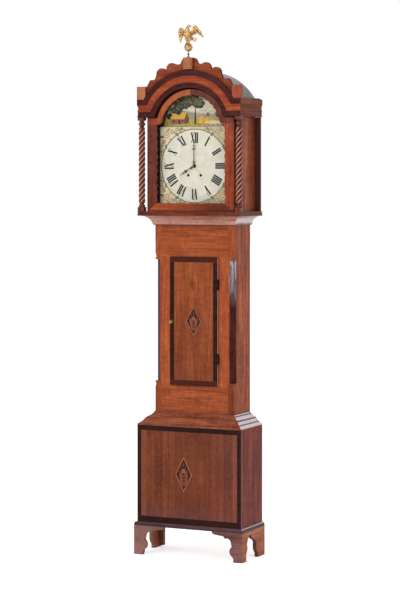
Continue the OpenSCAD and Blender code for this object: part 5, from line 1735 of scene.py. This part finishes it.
# Scale feathers down the breast and neck
for row in range(9):
    z = 64 - 4.6 * row
    reach = (6.6, 8.4, 11.0, 13.6, 15.0, 15.2, 14.6, 12.5, 9.5)[row]
    count = 3 + row if row < 4 else 7
    for i in range(count):
        u = (i + 0.5 * (row % 2)) / (count - 1 + 0.5) * 1.7 - 0.85
        x = -1.6 + reach * u
        forward = -4.6 - (reach * 0.84) * math.sqrt(max(0.05, 1 - u * u)) + 0.85
        feather(bird, (x, z), (x + 0.5 * u, z - 8.2), 5.6, forward, 0.0, 0.6)
# Right wing: its arm, then the coverts over the long flight feathers
drawn_form(
    bird,
    [
        (6, 1, 34, 5),
        (13, 1, 44, 4.6),
        (20, 1.5, 54, 4.0),
        (22, 2, 64, 3.6),
        (29, 2, 71, 3.2),
        (38, 2.4, 65.5, 2.6),
        (47, 2.8, 55, 2.0),
        (54, 3, 44, 1.3),
    ],
    40,
    14,
    0.7,
)
feather_row(
    bird,
    [(47, 55), (40, 64), (31, 69), (23, 60)],
    [(67.3, 19.5), (55, 28), (43, 36), (31, 35)],
    9,
    5.4,
    4.6,
    -0.12,
    1.4,
)
feather_row(bird, [(23, 60), (19, 52), (11, 42)], [(31, 35), (24, 31), (12, 25)], 5, 5.4, 4.0, 0.0, 0.8)
feather_row(
    bird,
    [(48, 54), (38, 66), (28, 70), (20, 54), (11, 42)],
    [(58, 34), (47, 43), (36, 46), (27, 38), (13, 31)],
    11,
    4.8,
    1.6,
    0.0,
    0.8,
)
feather_row(
    bird,
    [(44, 59), (32, 69.5), (22, 60), (14, 46)],
    [(48, 47), (38, 55), (28, 48), (19, 38)],
    9,
    4.4,
    -0.4,
    0.0,
    0.4,
)
# Left wing, half closed, its feathers hanging to a point
drawn_form(
    bird,
    [
        (-7, 1, 36, 5),
        (-14, 1, 46, 4.4),
        (-22, 1.5, 53, 3.8),
        (-30, 2, 60.5, 3.4),
        (-38, 2, 62.5, 3.0),
        (-44.5, 2.4, 55, 2.4),
        (-47.6, 2.8, 44, 1.6),
    ],
    36,
    14,
    0.7,
)
feather_row(
    bird,
    [(-46, 50), (-42, 58), (-36, 61), (-27, 56), (-19, 48)],
    [(-39, 2), (-36, 6), (-33, 16), (-29, 24), (-22, 32)],
    10,
    5.2,
    4.2,
    -0.1,
    -1.0,
)
feather_row(
    bird,
    [(-45.5, 52), (-40, 60), (-32, 59), (-22, 50), (-12, 42)],
    [(-43, 26), (-38, 30), (-32, 34), (-24, 35), (-13, 30)],
    9,
    4.8,
    1.6,
    0.0,
    -0.6,
)
feather_row(
    bird,
    [(-44, 56), (-36, 61), (-26, 55), (-15, 44)],
    [(-42, 42), (-35, 45), (-27, 42), (-17, 35)],
    8,
    4.2,
    -0.4,
    0.0,
    -0.4,
)
# Tail, spread behind the legs to the right
drawn_form(bird, [(1, 4, 24, 7), (10, 7, 19, 6), (18, 9, 16, 3.4)], 12, 14, 0.7)
feather_row(bird, [(6, 24), (7, 21), (8, 17)], [(32, 20), (34, 13), (27, 6)], 6, 5.2, 8.6, 0.2, 0.3)
# The ball with its seam
ball_z = -ball_r * 1000 + 1
ball_mm = ball_r * 1000 - 0.4
drawn_ball = [
    (0, 0, ball_z + ball_mm * math.sin(math.radians(a)), ball_mm * math.cos(math.radians(a)))
    for a in range(-90, 91, 6)
]
for i, point in enumerate(drawn_ball):
    drawn_ball[i] = point[:3] + (max(0.05, point[3]) + (0.35 if i == 15 else 0.0),)
drawn_form(bird, drawn_ball, 60, 40)


def gilding():
    """Water gilding worn to its red ground on the high edges of the feathers, with painted shade in the
    hollows.
    """
    mat, surface = new_material("worn_gilding")
    place, _ = place_of(mat)
    # Painted shade in the hollows, where nearby faces hide the light
    hollow = add(mat, "AmbientOcclusion", None, 0.006, samples=6, output="AO")
    depth = add(mat, "MapRange", hollow, 0.2, 0.9, 1.0, 0.0)
    rub = streaks(mat, place, "z", 0.004, 0.006, 6.0, 4.0, 0.8)
    bare = add(mat, "MapRange", rub, 0.55, 0.75, 0.0, 0.5)
    gold = add(mat, "Mix", bare, colour("#e0b376"), colour("#c07f4c"), data_type="RGBA")
    gold = add(mat, "Mix", depth, gold, colour("#6e4a24"), data_type="RGBA")
    surface.inputs["Metallic"].default_value = 0.85
    rough = add(mat, "MapRange", rub, 0.0, 1.0, 0.24, 0.46)
    mat.node_tree.links.new(gold, surface.inputs["Base Color"])
    mat.node_tree.links.new(rough, surface.inputs["Roughness"])
    return mat


# Gilt brass, warm yellow, with painted shade in its hollows
gilt = gilding()
eagle = add_mesh("gilt_eagle", bird, gilt, "hood")
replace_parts(eagle, "eagle_finial")
spike = bmesh.new()
spike_foot = (finial_low[2] - perch_z) * 1000
spike_profile = [
    (0, 8.0),
    (0.6, 8.0),
    (2.0, 7.2),
    (2.6, 5.0),
    (3.4, 4.2),
    (5.5, 3.2),
    (10.5, 3.0),
    (11.5, 4.4),
    (13.0, 5.5),
    (14.6, 5.5),
]
spike_profile += [(16.0, 4.2), (17.2, 3.2), (22.0, 2.6), (27.0, 2.8)]
drawn_form(spike, [(0, 0, spike_foot + h, r) for h, r in spike_profile], 52, 28)
# Spike of turned steel, silver grey with a dull shine
spike_steel = metal("dull_steel_spike", "#a9aaa6", "#6f6d66", 0.34)
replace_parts(add_mesh("finial_spike", spike, spike_steel, "hood"), "eagle_finial")


# Studio. A pale floor and one soft light from the front left with a weak fill, as for a catalogue picture,
# and a long lens 1.58 m up, to the right of the clock.
floor_mesh = bpy.data.meshes.new("floor")
reach = 40.0
floor_mesh.from_pydata(
    [(-reach, -reach, 0), (reach, -reach, 0), (reach, reach, 0), (-reach, reach, 0)], [], [(0, 1, 2, 3)]
)
floor = bpy.data.objects.new("floor", floor_mesh)
bpy.context.scene.collection.objects.link(floor)
# White seamless paper, matt
paper, surface = new_material("white_paper")
surface.inputs["Base Color"].default_value = colour("#fbfbfb")
surface.inputs["Roughness"].default_value = 0.9
surface.inputs["Specular IOR Level"].default_value = 0.0
look = add(paper, "LightPath", output="Is Camera Ray")
surface.inputs["Emission Color"].default_value = (1.0, 1.0, 1.0, 1.0)
paper_glow = 0.56
paper.node_tree.links.new(
    add(paper, "Math", look, paper_glow, operation="MULTIPLY"), surface.inputs["Emission Strength"]
)
floor_mesh.materials.append(paper)

world = bpy.data.worlds.new("studio")
bpy.context.scene.world = world
world.use_nodes = True
rays = add(world, "LightPath").node.outputs
seen = add(world, "Math", rays["Is Camera Ray"], rays["Is Transmission Ray"], operation="MAXIMUM")
# Polished faces see the white wall behind the clock, and a dim room on the side of the camera
heading = add(world, "SeparateXYZ", add(world, "TexCoord", output="Generated")).node.outputs
room = add(world, "MapRange", heading["Y"], -0.4, 0.6, 0.12, 0.8)
room_light = 0.64
light = add(world, "Mix", rays["Is Glossy Ray"], room_light, room)
backdrop = world.node_tree.nodes["Background"]
backdrop.inputs["Color"].default_value = (1.0, 1.0, 1.0, 1.0)
level = add(world, "Math", light, seen, operation="MAXIMUM")
world.node_tree.links.new(level, backdrop.inputs["Strength"])


def soft_light(name, place, aim, size, watts):
    """A square soft box that faces a point."""
    data = bpy.data.lights.new(name, "AREA")
    data.size = size
    data.energy = watts
    lamp = bpy.data.objects.new(name, data)
    lamp.location = place
    lamp.rotation_euler = (Vector(aim) - Vector(place)).to_track_quat("-Z", "Y").to_euler()
    bpy.context.scene.collection.objects.link(lamp)


soft_light("key_light", (-1.5, -5.1, 3.45), (0, 0, 1.3), 1.9, 120)
soft_light("fill_light", (4.4, -3.0, 2.4), (0, 0, 1.2), 2.0, 38)

# The camera's place in metres, its pan and its small tilt in degrees, fitted to the photograph
camera_data = bpy.data.cameras.new("camera")
camera_data.sensor_width = 36.0
camera_data.lens = 121.88
camera_data.shift_x = -0.0012
camera_data.shift_y = -0.15
camera = bpy.data.objects.new("camera", camera_data)
camera.location = (3.7150, -7.7181, 1.5754)
camera.rotation_euler = (math.radians(90 - 0.7785), 0, math.radians(25.65))
bpy.context.scene.collection.objects.link(camera)
bpy.context.scene.camera = camera
bpy.context.scene.view_settings.view_transform = "Standard"
